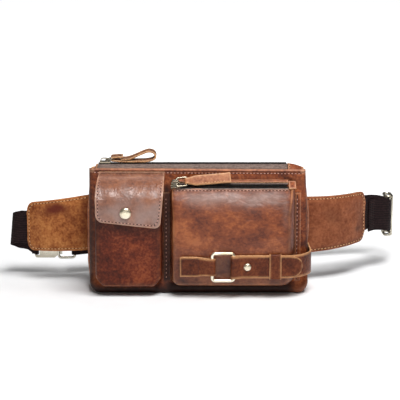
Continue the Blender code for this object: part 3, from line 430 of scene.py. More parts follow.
def smooth_path(points, count):
    """A Catmull-Rom curve through the points, with this many steps between two of them."""
    points = [Vector(p) for p in points]
    ends = [2 * points[0] - points[1]] + points + [2 * points[-1] - points[-2]]
    path = []
    for i in range(1, len(ends) - 2):
        a, b, c, d = ends[i - 1:i + 3]
        for k in range(count):
            t = k / count
            path.append(0.5 * (2 * b + (c - a) * t + (2 * a - 5 * b + 4 * c - d) * t ** 2
                               + (3 * b - a - 3 * c + d) * t ** 3))
    path.append(points[-1])
    return path


def arc(centre, radius, start, end, count):
    """Points on an arc, by angles in degrees, both ends included."""
    angles = [math.radians(start + (end - start) * i / count) for i in range(count + 1)]
    return [(centre[0] + radius * math.cos(a), centre[1] + radius * math.sin(a)) for a in angles]


def offset_path(points, distance):
    """The same route shifted to its left, seen from above, in the first two coordinates."""
    points = [Vector(p) for p in points]
    shifted = []
    for i, point in enumerate(points):
        ahead = points[min(i + 1, len(points) - 1)] - points[max(i - 1, 0)]
        moved = point.copy()
        left = Vector((-ahead[1], ahead[0])).normalized() * distance
        moved[0] += left[0]
        moved[1] += left[1]
        shifted.append(moved)
    return shifted


def rounded_rectangle(low, high, radius, count=6):
    """Corner points of a rectangle with round corners, anticlockwise."""
    x0, y0 = low
    x1, y1 = high
    return (arc((x1 - radius, y1 - radius), radius, 0, 90, count)
            + arc((x0 + radius, y1 - radius), radius, 90, 180, count)
            + arc((x0 + radius, y0 + radius), radius, 180, 270, count)
            + arc((x1 - radius, y0 + radius), radius, 270, 360, count))


class Route:
    """A line of points that can be read at any distance along it."""

    def __init__(self, points):
        self.points = [Vector(p) for p in points]
        self.marks = [0.0]
        for a, b in zip(self.points, self.points[1:]):
            self.marks.append(self.marks[-1] + (b - a).length)
        self.length = self.marks[-1]

    def at(self, distance):
        last = len(self.points) - 1
        i = min(last, max(1, int(np.searchsorted(self.marks, distance))))
        span = self.marks[i] - self.marks[i - 1]
        return self.points[i - 1].lerp(self.points[i], (distance - self.marks[i - 1]) / span)

    def where(self, test):
        """Distance to the first point that passes the test."""
        return next(mark for mark, point in zip(self.marks, self.points) if test(point))


def at_height(points, height):
    return [Vector((x, y, height)) for x, y in points]


def profile(points, count, flip=1.0):
    """A smooth line through (y, z) points, square to X."""
    return Route([Vector((0.0, flip * y, z)) for y, z in smooth_path(points, count)])


def link(name, data, finish=None):
    made = bpy.data.objects.new(name, data)
    bpy.context.scene.collection.objects.link(made)
    if finish is not None:
        data.materials.append(finish.material)
    return made


def add_floats(mesh, name, values):
    layer = mesh.attributes.new(name, "FLOAT", "POINT")
    layer.data.foreach_set("value", np.asarray(values, np.float32))


def add_painted_sheen(made, strongest, strength):
    """Painted sheen, a pale haze that stands in for reflected light, from its strength at each x and z."""
    places = [vert.co / MM for vert in made.data.vertices]
    add_floats(made.data, "painted_sheen", [min(strongest, max(0.0, strength(p.x, p.z))) for p in places])


def mark_wear(mesh, us, vs, outward, reach, amount):
    """Rubbed borders and ridges in the attribute wear, and painted shade in its hollows in a second attribute.
    """
    count = len(mesh.vertices)
    co = np.zeros(count * 3)
    mesh.vertices.foreach_get("co", co)
    co = co.reshape(-1, 3)
    rows, columns = np.divmod(np.arange(count), us)
    border = (rows == 0) | (rows == vs - 1) | (columns == 0) | (columns == us - 1)
    edge = co[border]
    nearest = np.array([np.sqrt(((edge - p) ** 2).sum(1).min()) for p in co]) / MM
    wear = amount * np.exp(-(nearest / reach) ** 2)
    shade_and_stain = np.zeros(count)
    if outward is not None:
        normals = np.zeros(count * 3)
        mesh.vertices.foreach_get("normal", normals)
        normals = normals.reshape(-1, 3)
        facing = np.array([outward(p / MM) for p in co]) if callable(outward) else np.array(outward)
        normals *= np.sign((normals * facing).sum() or 1.0)
        pairs = np.zeros(len(mesh.edges) * 2, int)
        mesh.edges.foreach_get("vertices", pairs)
        a, b = pairs.reshape(-1, 2).T
        total, touching, spread = np.zeros((count, 3)), np.zeros(count), np.zeros(count)
        length = np.sqrt(((co[a] - co[b]) ** 2).sum(1))
        for one, other in ((a, b), (b, a)):
            np.add.at(total, one, co[other] - co[one])
            np.add.at(touching, one, 1.0)
            np.add.at(spread, one, length)
        bend = -2.0 * (total * normals).sum(1) / touching / (spread / touching) ** 2 * MM
        wear = np.maximum(wear, np.where(border, 0.0, np.clip((bend - 0.05) * 4.0, 0.0, 0.8)))
        # Painted shade: darker where the sheet bends inward.
        shade_and_stain = np.where(border, 0.0, np.clip((-bend - 0.03) * 5.0, 0.0, 0.8))
    add_floats(mesh, "wear", wear)
    add_floats(mesh, "shade_and_stain", shade_and_stain)


def soften(made, width, segments, angle):
    """Rounds the edges that turn by more than this angle."""
    bevel = made.modifiers.new("edges", "BEVEL")
    bevel.width = width * MM
    bevel.segments = segments
    bevel.limit_method = "ANGLE"
    bevel.angle_limit = math.radians(angle)


def sheet(name, surface, us, vs, thickness, finish, edge=CUT_EDGE, outward=None, reach=1.3, worn=0.7,
          rounding=0.35, stain_and_shade=None):
    """A sheet through surface(u, v), thickened about its middle, with its own finish on the cut edges.

    The stain function, of a point, adds painted shade, and on the wings real stains too, to the painted shade
    that mark_wear puts in hollows.
    """
    bm = bmesh.new()
    bmesh.ops.create_grid(bm, x_segments=len(us) - 1, y_segments=len(vs) - 1, size=1.0)
    bm.verts.ensure_lookup_table()
    for index, vert in enumerate(bm.verts):
        row, column = divmod(index, len(us))
        vert.co = Vector(surface(us[column], vs[row])) * MM
    bm.normal_update()
    mesh = bpy.data.meshes.new(name)
    bm.to_mesh(mesh)
    bm.free()
    mesh.shade_smooth()
    made = link(name, mesh, finish)
    mark_wear(mesh, len(us), len(vs), outward, reach, worn)
    if stain_and_shade is not None:
        shade_and_stain = mesh.attributes["shade_and_stain"].data
        for vert, item in zip(mesh.vertices, shade_and_stain):
            item.value = min(0.95, item.value + stain_and_shade(vert.co / MM))
    rest = np.zeros(len(mesh.vertices) * 3, np.float32)
    mesh.vertices.foreach_get("co", rest)
    mesh.attributes.new("rest", "FLOAT_VECTOR", "POINT").data.foreach_set("vector", rest)
    add_floats(mesh, "along", [us[i % len(us)] for i in range(len(mesh.vertices))])
    add_floats(mesh, "across", [vs[i // len(us)] for i in range(len(mesh.vertices))])
    solid = made.modifiers.new("thickness", "SOLIDIFY")
    solid.thickness = thickness * MM
    solid.offset = 0.0
    solid.use_even_offset = True
    if edge is not None:
        mesh.materials.append(edge.material)
        solid.material_offset_rim = 1
    if rounding:
        soften(made, rounding, 2, 50)
    return made


def ribbon(name, route, half, thickness, finish, size=1.6, cells=6, side=Vector((0.0, 0.0, 1.0)), **more):
    """A strip along a route, this far to each side of it. Returns the piece and its surface."""
    reach = half if callable(half) else (lambda distance: half)
    lean = side if callable(side) else (lambda distance: side)

    def surface(u, v):
        return route.at(u) + lean(u) * (v / WEBBING_HALF * reach(u))

    us = steps(0.0, route.length, size)
    vs = steps(-WEBBING_HALF, WEBBING_HALF, 2 * WEBBING_HALF / cells)
    return sheet(name, surface, us, vs, thickness, finish, **more), surface


def new_curve(name, diameter, sides):
    """An empty curve that gives its lines a round section."""
    curve = bpy.data.curves.new(name, "CURVE")
    curve.dimensions = "3D"
    curve.bevel_depth = diameter * MM / 2
    curve.bevel_resolution = sides
    curve.use_fill_caps = True
    return curve


def add_line(curve, points, closed=False, thick=1.0):
    """A line through the points, this many times as thick as the curve's other lines."""
    line = curve.splines.new("POLY")
    line.points.add(len(points) - 1)
    for knot, point in zip(line.points, points):
        knot.co = (*(Vector(point) * MM), 1.0)
        knot.radius = thick
    line.use_cyclic_u = closed
    return line


def wire(name, points, diameter, finish, closed=True, sides=4):
    curve = new_curve(name, diameter, sides)
    add_line(curve, points, closed)
    return link(name, curve, finish)


def facing_front(x, y, z):
    """The placement of a round piece whose axis points out of the pack's front."""
    return Matrix.Translation(Vector((x, y, z)) * MM) @ Matrix.Rotation(math.radians(90.0), 4, "X")


def turned(name, profile, place, finish, count=48):
    """A round piece: (radius, height) points from the top of its axis, down its outer side, to the bottom."""
    mesh = bpy.data.meshes.new(name)
    verts = [(r * MM, 0.0, h * MM) for r, h in profile]
    mesh.from_pydata(verts, [(i, i + 1) for i in range(len(verts) - 1)], [])
    made = link(name, mesh, finish)
    made.matrix_world = place
    screw = made.modifiers.new("turn", "SCREW")
    screw.angle = 2 * math.pi
    screw.steps = count
    screw.render_steps = count
    screw.use_merge_vertices = True
    screw.merge_threshold = 0.00002
    screw.use_smooth_shade = True
    soften(made, 0.15, 2, 40)
    return made


def seam(name, surface, route, thread, body, lift, pitch, length, thickness, toward=(0.0, -1.0, 0.0)):
    """Stitches along a route in the surface's own coordinates, on the side that faces toward, over a thin dark
    line of painted shade where their groove would be.

    lift is the height of the sheet's face above its middle, and pitch the distance from stitch to stitch.
    """
    toward = Vector(toward)
    fine = []
    for (u0, v0), (u1, v1) in zip(route, route[1:]):
        span = (surface(u1, v1) - surface(u0, v0)).length
        count = max(2, int(span / 0.6))
        fine += [(u0 + (u1 - u0) * i / count, v0 + (v1 - v0) * i / count) for i in range(count)]
    fine.append(route[-1])
    spots, normals = [], []
    for u, v in fine:
        here = surface(u, v)
        normal = (surface(u + 0.01, v) - here).cross(surface(u, v + 0.01) - here).normalized()
        normals.append(-normal if normal.dot(toward) < 0.0 else normal)
        spots.append(here)
    base, ups = Route(spots), Route([s + n for s, n in zip(spots, normals)])
    curve = new_curve(name, thickness, 2)
    # Painted shade: a thin dark line just under the stitches, seen between them.
    pressed = [here + normal * (lift - 0.3) for here, normal in zip(spots, normals)]
    shade_line = add_line(curve, pressed, thick=1.2)
    rises = (-0.55, 0.05, 0.2, 0.05, -0.55)
    for number in range(int(base.length / pitch)):
        stitch = []
        for k, rise in enumerate(rises):
            distance = (number + 0.5) * pitch + length * (k / (len(rises) - 1) - 0.5)
            here = base.at(distance)
            up = (ups.at(distance * ups.length / base.length) - here).normalized()
            stitch.append(here + up * (lift + rise))
        add_line(curve, stitch)
    made = link(name, curve, thread)
    curve.materials.append(STITCH_SHADE.material)
    shade_line.material_index = 1       # only holds once both materials are there
    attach(made, body)
    return made


def metal_node(name, finish, rounding):
    """A carried-over metal part, with its edges broken and its finish set."""
    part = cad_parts[name]
    part.data.materials.clear()
    part.data.materials.append(finish.material)
    weld = part.modifiers.new("weld", "WELD")
    weld.merge_threshold = 0.00001
    soften(part, rounding, 3, 28)


# ---------------------------------------------------------------- body

def half_width(z, side=1.0):
    """Half of the body's width at this height: its left side has slumped out a little."""
    taper = WIDTH_TAPER if side > 0 else 0.25 * WIDTH_TAPER
    return BASE_HALF_WIDTH - taper * (z / BODY_HEIGHT) ** 2


def half_depth(z):
    return BASE_HALF_DEPTH - DEPTH_TAPER * z / BODY_HEIGHT


def panel_surface(sign):
    """Middle of the front or back leather, turned in round its seam and over at its top hem."""
    hem = 1.8

    def surface(u, v):
        width = half_width(v, u) - LEATHER / 2
        x = u * (width - round_in(v - 1.0, CORNER_RADIUS))
        dx, dz = width - abs(x), v - 1.0
        if dx < CORNER_RADIUS and dz < CORNER_RADIUS:
            inside = CORNER_RADIUS - math.hypot(CORNER_RADIUS - dx, CORNER_RADIUS - dz)
        else:
            inside = min(dx, dz)
        back = round_in(inside, SEAM_ROLL)
        top = max(0.0, v - (BODY_HEIGHT - 1.0 - hem)) / hem
        back += hem * (1.0 - math.sqrt(max(0.0, 1.0 - min(1.0, top) ** 2)))
        calm = ease(inside, 2.0, 16.0)
        wave = 0.7 * ripple((x, 0.0, v), 34.0, 3.0 + sign) + 0.25 * ripple((x, 0.0, v), 11.0, 8.0)
        if sign < 0:
            wave -= 1.6 * hump(x, 96.0, 13.0) * hump(v + 0.45 * (x - 96.0), 127.0, 3.2)
        raised = (3.3 - 0.7 * x / BASE_HALF_WIDTH) * ease(v, 116.0, 133.0) if sign < 0 else 0.0
        sagged = BASE_SAG * ease(v, 22.0, 4.0) if sign < 0 else 0.0
        y = half_depth(v) - 1.0 - back + sagged + min(0.0, wave * calm)
        return Vector((x, sign * y, v + raised))

    return surface


def panel(name, node, sign):
    surface = panel_surface(sign)
    edges = [1.0 - t for t in (0.0, 0.004, 0.009, 0.015, 0.022, 0.03, 0.04)]
    across = [-e for e in edges] + steps(-0.95, 0.95, 0.019) + edges[::-1]
    heights = [1.0 + r for r in (0.0, 0.3, 0.9, 1.7, 2.6, 3.6, 4.7, 6.0)] + steps(7.5, 131.0, 2.0)
    heights += steps(131.6, BODY_HEIGHT - 1.0, 0.35)
    made = sheet(name, surface, across, heights, LEATHER, BODY_LEATHER, outward=(0.0, sign, 0.0), reach=1.6,
                 worn=0.35, rounding=0.0, stain_and_shade=pocket_shadow if sign < 0 else None)
    wear, shade_and_stain, rise = (made.data.attributes[key].data for key in ("wear", "shade_and_stain", "across"))
    for lit, hem_shade, height in zip(wear, shade_and_stain, rise):
        lit.value = max(lit.value, 0.42 * ease(height.value, HEM_CREASE + 0.8, HEM_CREASE + 1.3))
        # Painted shade: a dark line just below the rolled top hem.
        hem_shade.value = max(hem_shade.value, 0.9 * hump(height.value, HEM_CREASE, 0.55))
    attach(made, "pack")
    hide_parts(node)
    top = [(-0.965, TOP_STITCHES), (0.965, TOP_STITCHES)]
    seam(name + "_top_stitches", surface, top, THREAD_ROSE, "pack",
         lift=1.0, pitch=3.8, length=2.2, thickness=0.9, toward=(0.0, sign, 0.0))


def pocket_shadow(point):
    """Painted shade on the front panel: between the pockets, along its sides and foot, and under its hem."""
    x, z = point.x, point.z
    channel = hump(x, -35.5, 4.5) * ease(z, 12.0, 24.0) * ease(z, 124.0, 117.0)
    side = ease(abs(x), 112.0, 120.0) * (0.75 if x < 0 else 0.4 * ease(z, 10.0, 60.0))
    side *= 1.0 - 0.5 * ease(z, 90.0, 130.0)
    foot = max(ease(z, 12.0, 4.0), ease(z, 17.0, 9.0) * ease(x, -44.0, -34.0))
    foot *= 1.0 - 0.7 * ease(x, 98.0, 112.0)
    top = ease(z, 118.0, 126.0) * ease(z, 133.0, 127.0) * ease(x, -38.0, -20.0)
    return 0.95 * channel + 1.15 * side + 0.95 * foot + 0.3 * top


def gusset():
    """The band round both sides and the base, drawn in along its seams and a little hollow at the sides."""
    inset = LEATHER / 2
    heights = steps(BODY_HEIGHT - inset, CORNER_RADIUS, 3.0)
    left = [(-(half_width(z, -1.0) - inset), z) for z in heights]
    right = [(half_width(z) - inset, z) for z in reversed(heights)]
    corner = (BASE_HALF_WIDTH - CORNER_RADIUS, CORNER_RADIUS)
    left += arc((-corner[0], corner[1]), CORNER_RADIUS - inset, 180, 270, 10)[1:]
    right = arc(corner, CORNER_RADIUS - inset, 270, 360, 10)[:-1] + right
    base = [(x, inset) for x in steps(-corner[0], corner[0], 4.0)[1:-1]]
    outline = Route([Vector((x, 0.0, z)) for x, z in left + base + right])

    def outside(spot, ahead):
        normal = Vector((ahead.z, 0.0, -ahead.x))
        return normal if normal.dot(spot - BODY_MIDDLE) > 0 else -normal

    def surface(u, v):
        spot = outline.at(u)
        ahead = (outline.at(min(u + 0.5, outline.length)) - outline.at(max(u - 0.5, 0.0))).normalized()
        reach = half_depth(spot.z) - SEAM_ROLL - 1.2
        y = v * reach - BASE_SAG * ease(spot.z, 22.0, 4.0) * max(0.0, -v)
        drawn = 2.2 * round_in((1.0 - abs(v)) * reach, 3.0) / 3.0
        hollow = 1.6 * hump(y, 0.0, 5.0) + 0.9 * max(0.0, ripple((0.0, y, spot.z), 14.0, 5.0))
        bulge = 2.4 * ease(spot.z, 8.0, 40.0) * ease(spot.z, 128.0, 84.0)
        if spot.x > 0:
            bulge *= ease(spot.z, 52.0, 70.0)
        pulled = drawn + ease(spot.z, 10.0, 40.0) * hollow - bulge
        return spot + Vector((0.0, y, 0.0)) - outside(spot, ahead) * pulled

    # Painted shade along the gusset's foot, less at the right end.
    def stain_and_shade(point):
        return 0.7 * ease(point.z, 12.0, 2.0) * (1.0 - 0.6 * ease(point.x, 98.0, 112.0))

    us = steps(0.0, outline.length, 2.2)
    vs = steps(-1.0, 1.0, 0.085)
    made = sheet("gusset_leather", surface, us, vs, LEATHER, BODY_LEATHER, reach=2.5, worn=0.0, rounding=0.0,
                 outward=lambda place: place - np.array(BODY_MIDDLE), stain_and_shade=stain_and_shade)
    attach(made, "pack")
    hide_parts("gusset")


def lining():
    """Cloth bag inside the body, open at the top, creased where it hangs loose."""
    top, inset = 126.0, LEATHER + 1.0

    def surface(u, v):
        z = max(v, inset)
        width = half_width(z) - inset - 10.0 * ease(z, top, 0.0)
        depth = half_depth(z) - inset - 2.0
        angle = 2 * math.pi * u
        x = width * math.copysign(abs(math.cos(angle)) ** 0.25, math.cos(angle))
        y = depth * math.copysign(abs(math.sin(angle)) ** 0.5, math.sin(angle))
        closed = max(0.0, inset - v) / 30.0
        share = (1.0 - 0.05 * abs(ripple((x, y, z), 16.0, 2.0))) * (1.0 - closed)
        return Vector((x * share, y * share, z))

    heights = steps(inset - 29.7, inset, 6.0) + steps(inset + 2.0, top, 3.0)
    rounds = steps(0.0, 1.0, 1.0 / 110)
    made = sheet("lining_bag", surface, rounds, heights, 0.6, LINING, edge=None, rounding=0.0)
    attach(made, "pack")
    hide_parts("lining")


# ---------------------------------------------------------------- zips

def coil(name, middle, across, up, ends, reach, height, phase, node):
    """One half of a zip's chain: a flattened spiral along X, clear of the fin in the slider's middle."""
    turn, pitch = 12, 1.5
    points = []
    for i in range(int((ends[1] - ends[0] - 1.0) / pitch) * turn):
        angle = 2 * math.pi * i / turn
        x = ends[0] + 0.5 + pitch * (i / turn + phase)
        side = reach[0] + (reach[1] - reach[0]) * (0.5 - 0.5 * math.cos(angle))
        points.append(Vector((x, 0.0, 0.0)) + middle + across * side + up * (height * math.sin(angle)))
    made = wire(name, points, 0.8, COIL, closed=False, sides=1)
    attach(made, "pack")
    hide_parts(node)


def zip_tape(name, line, ends, node, sag=0.0):
    """Cloth tape along X, its section the line, which sinks between its edges by up to this."""
    def surface(u, v):
        spot = line.at(v)
        sunk = sag * ripple((u, 0.0, 0.0), 30.0, 4.0) * math.sin(math.pi * v / line.length)
        return Vector((u, spot.y, spot.z + min(0.0, sunk)))

    made = sheet(name, surface, steps(*ends, 2.4), steps(0.0, line.length, 1.0), TAPE, ZIP_TAPE, edge=None,
                 rounding=0.0)
    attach(made, "pack")
    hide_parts(node)


def main_zip():
    rise = [(16.0, 131.0), (15.8, 133.5), (15.2, 136.0), (11.5, 139.6), (8.0, 141.2), (5.5, 141.7),
            (3.5, 141.7)]
    ridge = Vector((0.0, 0.0, RIDGE_HEIGHT))
    for side, sign, phase in (("front", -1.0, 0.0), ("rear", 1.0, 0.5)):
        zip_tape("main_tape_" + side, profile(rise, 4, sign), MAIN_CHAIN, "main_zip_tape_" + side, sag=0.5)
        coil("main_coil_" + side, ridge, Vector((0.0, sign, 0.0)), Vector((0.0, 0.0, 1.0)), MAIN_CHAIN,
             reach=(0.95, 2.9), height=1.15, phase=phase, node="main_zip_teeth_" + side)
    for side, inner, outer in (("left", -112.6, -115.1), ("right", 98.6, 115.1)):
        main_end_tab(side, inner, outer)


def main_end_tab(side, inner, outer):
    """Leather that closes one end of the main zip, arched from panel to panel."""
    rise = [(14.6, 134.5), (10.5, 138.6), (5.0, 140.6)]
    arch = profile([(-y, z) for y, z in rise] + [(0.0, 141.2)] + rise[::-1], 4)

    def surface(u, v):
        spot = arch.at(v)
        z = spot.z - 4.0 * u ** 2 + 0.25 * ripple((u, v, 0.0), 6.0, 1.0)
        return Vector((inner + (outer - inner) * u, spot.y, z))

    made = sheet("main_end_leather_" + side, surface, steps(0.0, 1.0, 1.5 / abs(outer - inner)),
                 steps(0.0, arch.length, 1.2), 1.6, BODY_LEATHER, reach=1.2, worn=0.8)
    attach(made, "pack")
    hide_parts("main_zip_end_tab_" + side)
    if side == "right":
        line = [(0.12, 4.0), (0.12, arch.length - 4.0)]
        seam("main_end_stitches", surface, line, THREAD_TAN, "pack",
             lift=0.8, pitch=3.6, length=2.4, thickness=0.7, toward=(0.0, 0.0, 1.0))


MAIN_LINK = (Vector((-103.2, 0.0, 146.3)), Vector((-95.5, 0.0, 148.2)))
POCKET_LINK = (Vector((-24.0, -30.24, 126.6)), Vector((-13.0, -29.0, 127.6)))
PULL_END = Vector((35.0, -23.7, 130.7))
PULL_ALONG = (PULL_END - POCKET_LINK[1]).normalized()
PULL_OUT = PULL_ALONG.cross(Vector((0.0, 0.5, 0.866))).normalized()
PULL_SIDE = PULL_OUT.cross(PULL_ALONG)


def link_wire(name, ends, across, half, diameter, body, node):
    """The wire loop between a slider and its pull, this far to each side of its middle."""
    near, far = ends
    along = (far - near).normalized()
    flat = rounded_rectangle((0.0, -half), ((far - near).length, half), 1.6)
    made = wire(name, [near + along * x + across * y for x, y in flat], diameter, TARNISHED)
    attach(made, body)
    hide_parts(node)


def main_pull():
    """Leather strip folded round the link's bar, with its far end left as a teardrop loop."""
    bar = MAIN_LINK[1]
    run = [(-90.0, 146.0), (-80.0, 145.6), (-66.0, 145.6), (-57.0, 146.0), (-50.5, 147.8), (-47.8, 151.3)]
    loop = [(-50.2, 155.4), (-56.0, 156.6), (-63.0, 154.2), (-73.0, 149.9), (-80.0, 147.9), (-87.0, 147.8)]
    bend = [tuple(p) for p in smooth_path(run + loop, 6)]
    flat = [(-84.0, 150.4), (-90.0, 150.5)] + arc((bar.x, bar.z), 1.8, 90, 270, 12) + bend
    route = Route([Vector((x, 0.0, z)) for x, z in flat])

    def half(distance):
        return 3.9 - 0.5 * ease(route.length - distance, 8.0, 0.0)

    lean = Vector((0.0, 0.95, 0.3))
    made, surface = ribbon("main_pull_strip", route, half, 1.7, MAIN_PULL_LEATHER, 1.0, 6, lean, worn=0.9,
                           reach=1.1)
    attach(made, "main_pull")
    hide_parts("main_zip_pull")
    for side, edge in (("front", -13.0), ("rear", 13.0)):
        line = [(route.length - 46.0, edge), (route.length - 12.0, edge)]
        seam("main_pull_stitches_" + side, surface, line, THREAD_TAN, "main_pull",
             lift=0.7, pitch=3.4, length=2.3, thickness=0.6, toward=(0.0, 0.0, 1.0))


def pocket_pull():
    """Leather strip folded round the link's bar into two layers."""
    bar = POCKET_LINK[1]
    length = (PULL_END - bar).length
    stack = 0.85
    outer = [(length, stack), (30.0, stack), (11.0, stack), (6.0, stack), (2.5, 1.6)]
    flat = outer + arc((0.0, 0.0), 1.9, 90, 270, 12) + [(x, -y) for x, y in reversed(outer)]
    route = Route([bar + PULL_ALONG * x + PULL_OUT * y for x, y in flat])
    flat_route = Route(flat)

    def half(distance):
        x = flat_route.at(distance).x
        return 3.2 + 2.3 * ease(x, 0.0, 11.0) + 0.4 * ease(x, length - 8.0, length)

    made, surface = ribbon("pocket_pull_strip", route, half, 1.3, PULL_LEATHER, 1.0, 6, PULL_SIDE, worn=0.9,
                           reach=1.2)
    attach(made, "pocket_pull")
    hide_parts("zip_pocket_pull")
    line = [(6.0, -13.5), (length - 12.0, -13.5)]
    seam("pocket_pull_stitches", surface, line, THREAD_TAN, "pocket_pull",
         lift=0.65, pitch=3.4, length=2.3, thickness=0.55, toward=PULL_OUT)


def zip_plane(across, above=0.0):
    """A point of the slanted pocket zip: across it from the leather edge, and above it."""
    return ZIP_EDGE + ZIP_ACROSS * across + ZIP_NORMAL * above


def pocket_zip():
    tail = [Vector((0.0, zip_pocket_face(z) + LEATHER + 3 * GAP + TAPE / 2, z)) for z in (113.0, 117.0)]
    hem = [zip_plane(2.6), zip_plane(CHAIN_MIDDLE - 3.2)]
    upper = [zip_plane(14.0), zip_plane(12.0), zip_plane(CHAIN_MIDDLE + 3.2)]
    for side, points, sign, phase in (("upper", upper, 1.0, 0.0), ("lower", tail + hem, -1.0, 0.5)):
        zip_tape("pocket_tape_" + side, Route(points), POCKET_CHAIN, "zip_pocket_tape_" + side)
        coil("pocket_coil_" + side, zip_plane(CHAIN_MIDDLE), ZIP_ACROSS * sign, ZIP_NORMAL, POCKET_CHAIN,
             reach=(0.95, 2.7), height=1.0, phase=phase, node="zip_pocket_teeth_" + side)

    def welt(u, v):
        middle = zip_plane(v, 1.3 + 0.25 * ripple((u, 0.0, 0.0), 16.0, 8.0))
        return Vector((u, middle.y, middle.z))

    def tab(u, v):
        middle = zip_plane(v, 1.5 + 0.2 * ripple((u, v, 0.0), 5.0, 2.0))
        return Vector((u, middle.y, middle.z))

    made = sheet("pocket_zip_welt", welt, steps(-28.0, 98.3, 2.4), steps(11.2, 15.4, 0.7), 1.2, BODY_LEATHER,
                 worn=0.6)
    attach(made, "pack")
    made = sheet("pocket_end_leather", tab, steps(98.6, 106.6, 1.0), steps(1.0, 13.0, 1.0), 1.4, BODY_LEATHER,
                 worn=0.9)
    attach(made, "pack")
    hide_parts("zip_pocket_end_tab")


def sliders():
    for node in ("main_zip_slider", "zip_pocket_slider"):
        metal_node(node, TARNISHED, rounding=0.3)
    link_wire("main_pull_wire", MAIN_LINK, Vector((0.0, 1.0, 0.0)), half=5.2, diameter=1.5, body="main_link",
              node="main_zip_pull_link")
    link_wire("pocket_pull_wire", POCKET_LINK, PULL_SIDE, half=4.8, diameter=1.6, body="pocket_link",
              node="zip_pocket_pull_link")
    main_pull()
    pocket_pull()


# ---------------------------------------------------------------- pockets and flap

def zip_pocket_face(z):
    """Outer face of the zip pocket at this height."""
    above = max(0.0, z - FULL_HEIGHT) / (ZIP_POCKET_Z[1] - FULL_HEIGHT)
    return ZIP_POCKET_FACE + (ZIP_POCKET_MOUTH - ZIP_POCKET_FACE) * above ** 1.8


def quarter(angle, sharpness):
    """A point of a turn from 0 to 90 degrees, as shares (in, out). Sharpness 2 is a circle, 4 nearly square."""
    power = 2.0 / sharpness
    a = math.radians(angle)
    return 1.0 - math.cos(a) ** power, math.sin(a) ** power


def pocket_surface(x_range, z_range, face, side_round, sharpness, base_round, chamfer, mouth_drop, puff):
    """Middle of a patch pocket's leather.

    u from -2 to -1 runs up the left side's turn, -1 to 1 across the face and 1 to 2 down the right side's turn;
    v is 0 to 1 round the base's turn and then the height above it in millimetres plus 1. side_round(side, z) is
    the turn's size and puff(x, z) lifts the face.
    """
    low, high = x_range[0] + 1.0, x_range[1] - 1.0
    base, top = z_range[0] + 1.0, z_range[1]

    def surface(u, v):
        if v <= 1.0:
            share, out_z = quarter(90.0 * v, 2.7)
            z = base + base_round * share
        else:
            out_z = 1.0
            z = base + base_round + v - 1.0
        cut = max(0.0, chamfer - 0.8 * (z - base))
        left, right = low + cut + side_round(-1, z), high - cut - side_round(1, z)
        out_x = 1.0
        if u < -1.0:
            share, out_x = quarter(90.0 * (2.0 + u), sharpness[0])
            x = left - side_round(-1, z) * (1.0 - share)
        elif u > 1.0:
            share, out_x = quarter(90.0 * (2.0 - u), sharpness[1])
            x = right + side_round(1, z) * (1.0 - share)
        else:
            x = left + (right - left) * (u + 1.0) / 2
        z -= mouth_drop * (1.0 - out_x) * max(0.0, (z - base) / (top - base)) ** 4
        rim = -half_depth(z) - RIM_GAP
        out = face(z) + 1.0 - rim
        lifted = puff(x, z) * ease(min(out_x, out_z), 0.9, 1.0)
        return Vector((x, rim + out * out_x * out_z - lifted, z))

    return surface


def pocket_piece(name, node, surface, x_range, height, finish, stain_and_shade):
    turn = steps(1.0, 2.0, 0.1)
    us = [-u for u in reversed(turn)] + steps(-1.0, 1.0, 4.0 / (x_range[1] - x_range[0]))[1:-1] + turn
    vs = steps(0.0, 1.0, 0.1) + [1.0 + h for h in steps(0.0, height, 2.0)[1:]]
    made = sheet(name, surface, us, vs, LEATHER, finish, outward=(0.0, -1.0, 0.0), reach=1.2, worn=0.5,
                 stain_and_shade=stain_and_shade)
    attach(made, "pack")
    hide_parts(node)
    return made


def flap_pocket():
    def puff(x, z):
        swell = hump(x, FLAP_POCKET_MIDDLE, 30.0) * hump(z, 55.0, 34.0)
        return swell - 1.0 + 0.55 * ripple((x, 0.0, z), 22.0, 1.0) + 0.2 * ripple((x, 0.0, z), 8.0, 6.0)

    def stain_and_shade(point):
        """Painted shade under the flap, at the base and along the sides."""
        sides = ease(abs(point.x - FLAP_POCKET_MIDDLE), 22.0, 35.0)
        return 0.35 * hump(point.z, 84.0, 11.0) + 0.3 * ease(point.z, 22.0, 10.0) + 0.25 * sides

    surface = pocket_surface(FLAP_POCKET_X, FLAP_POCKET_Z, lambda z: FLAP_POCKET_FACE, lambda side, z: 5.0,
                             sharpness=(3.6, 3.6), base_round=FLAP_POCKET_BASE, chamfer=9.0, mouth_drop=0.0,
                             puff=puff)
    rise = FLAP_POCKET_Z[1] - FLAP_POCKET_Z[0] - 1.0 - FLAP_POCKET_BASE
    pocket_piece("flap_pocket_shell", "flap_pocket", surface, FLAP_POCKET_X, rise, LOW_LEATHER, stain_and_shade)


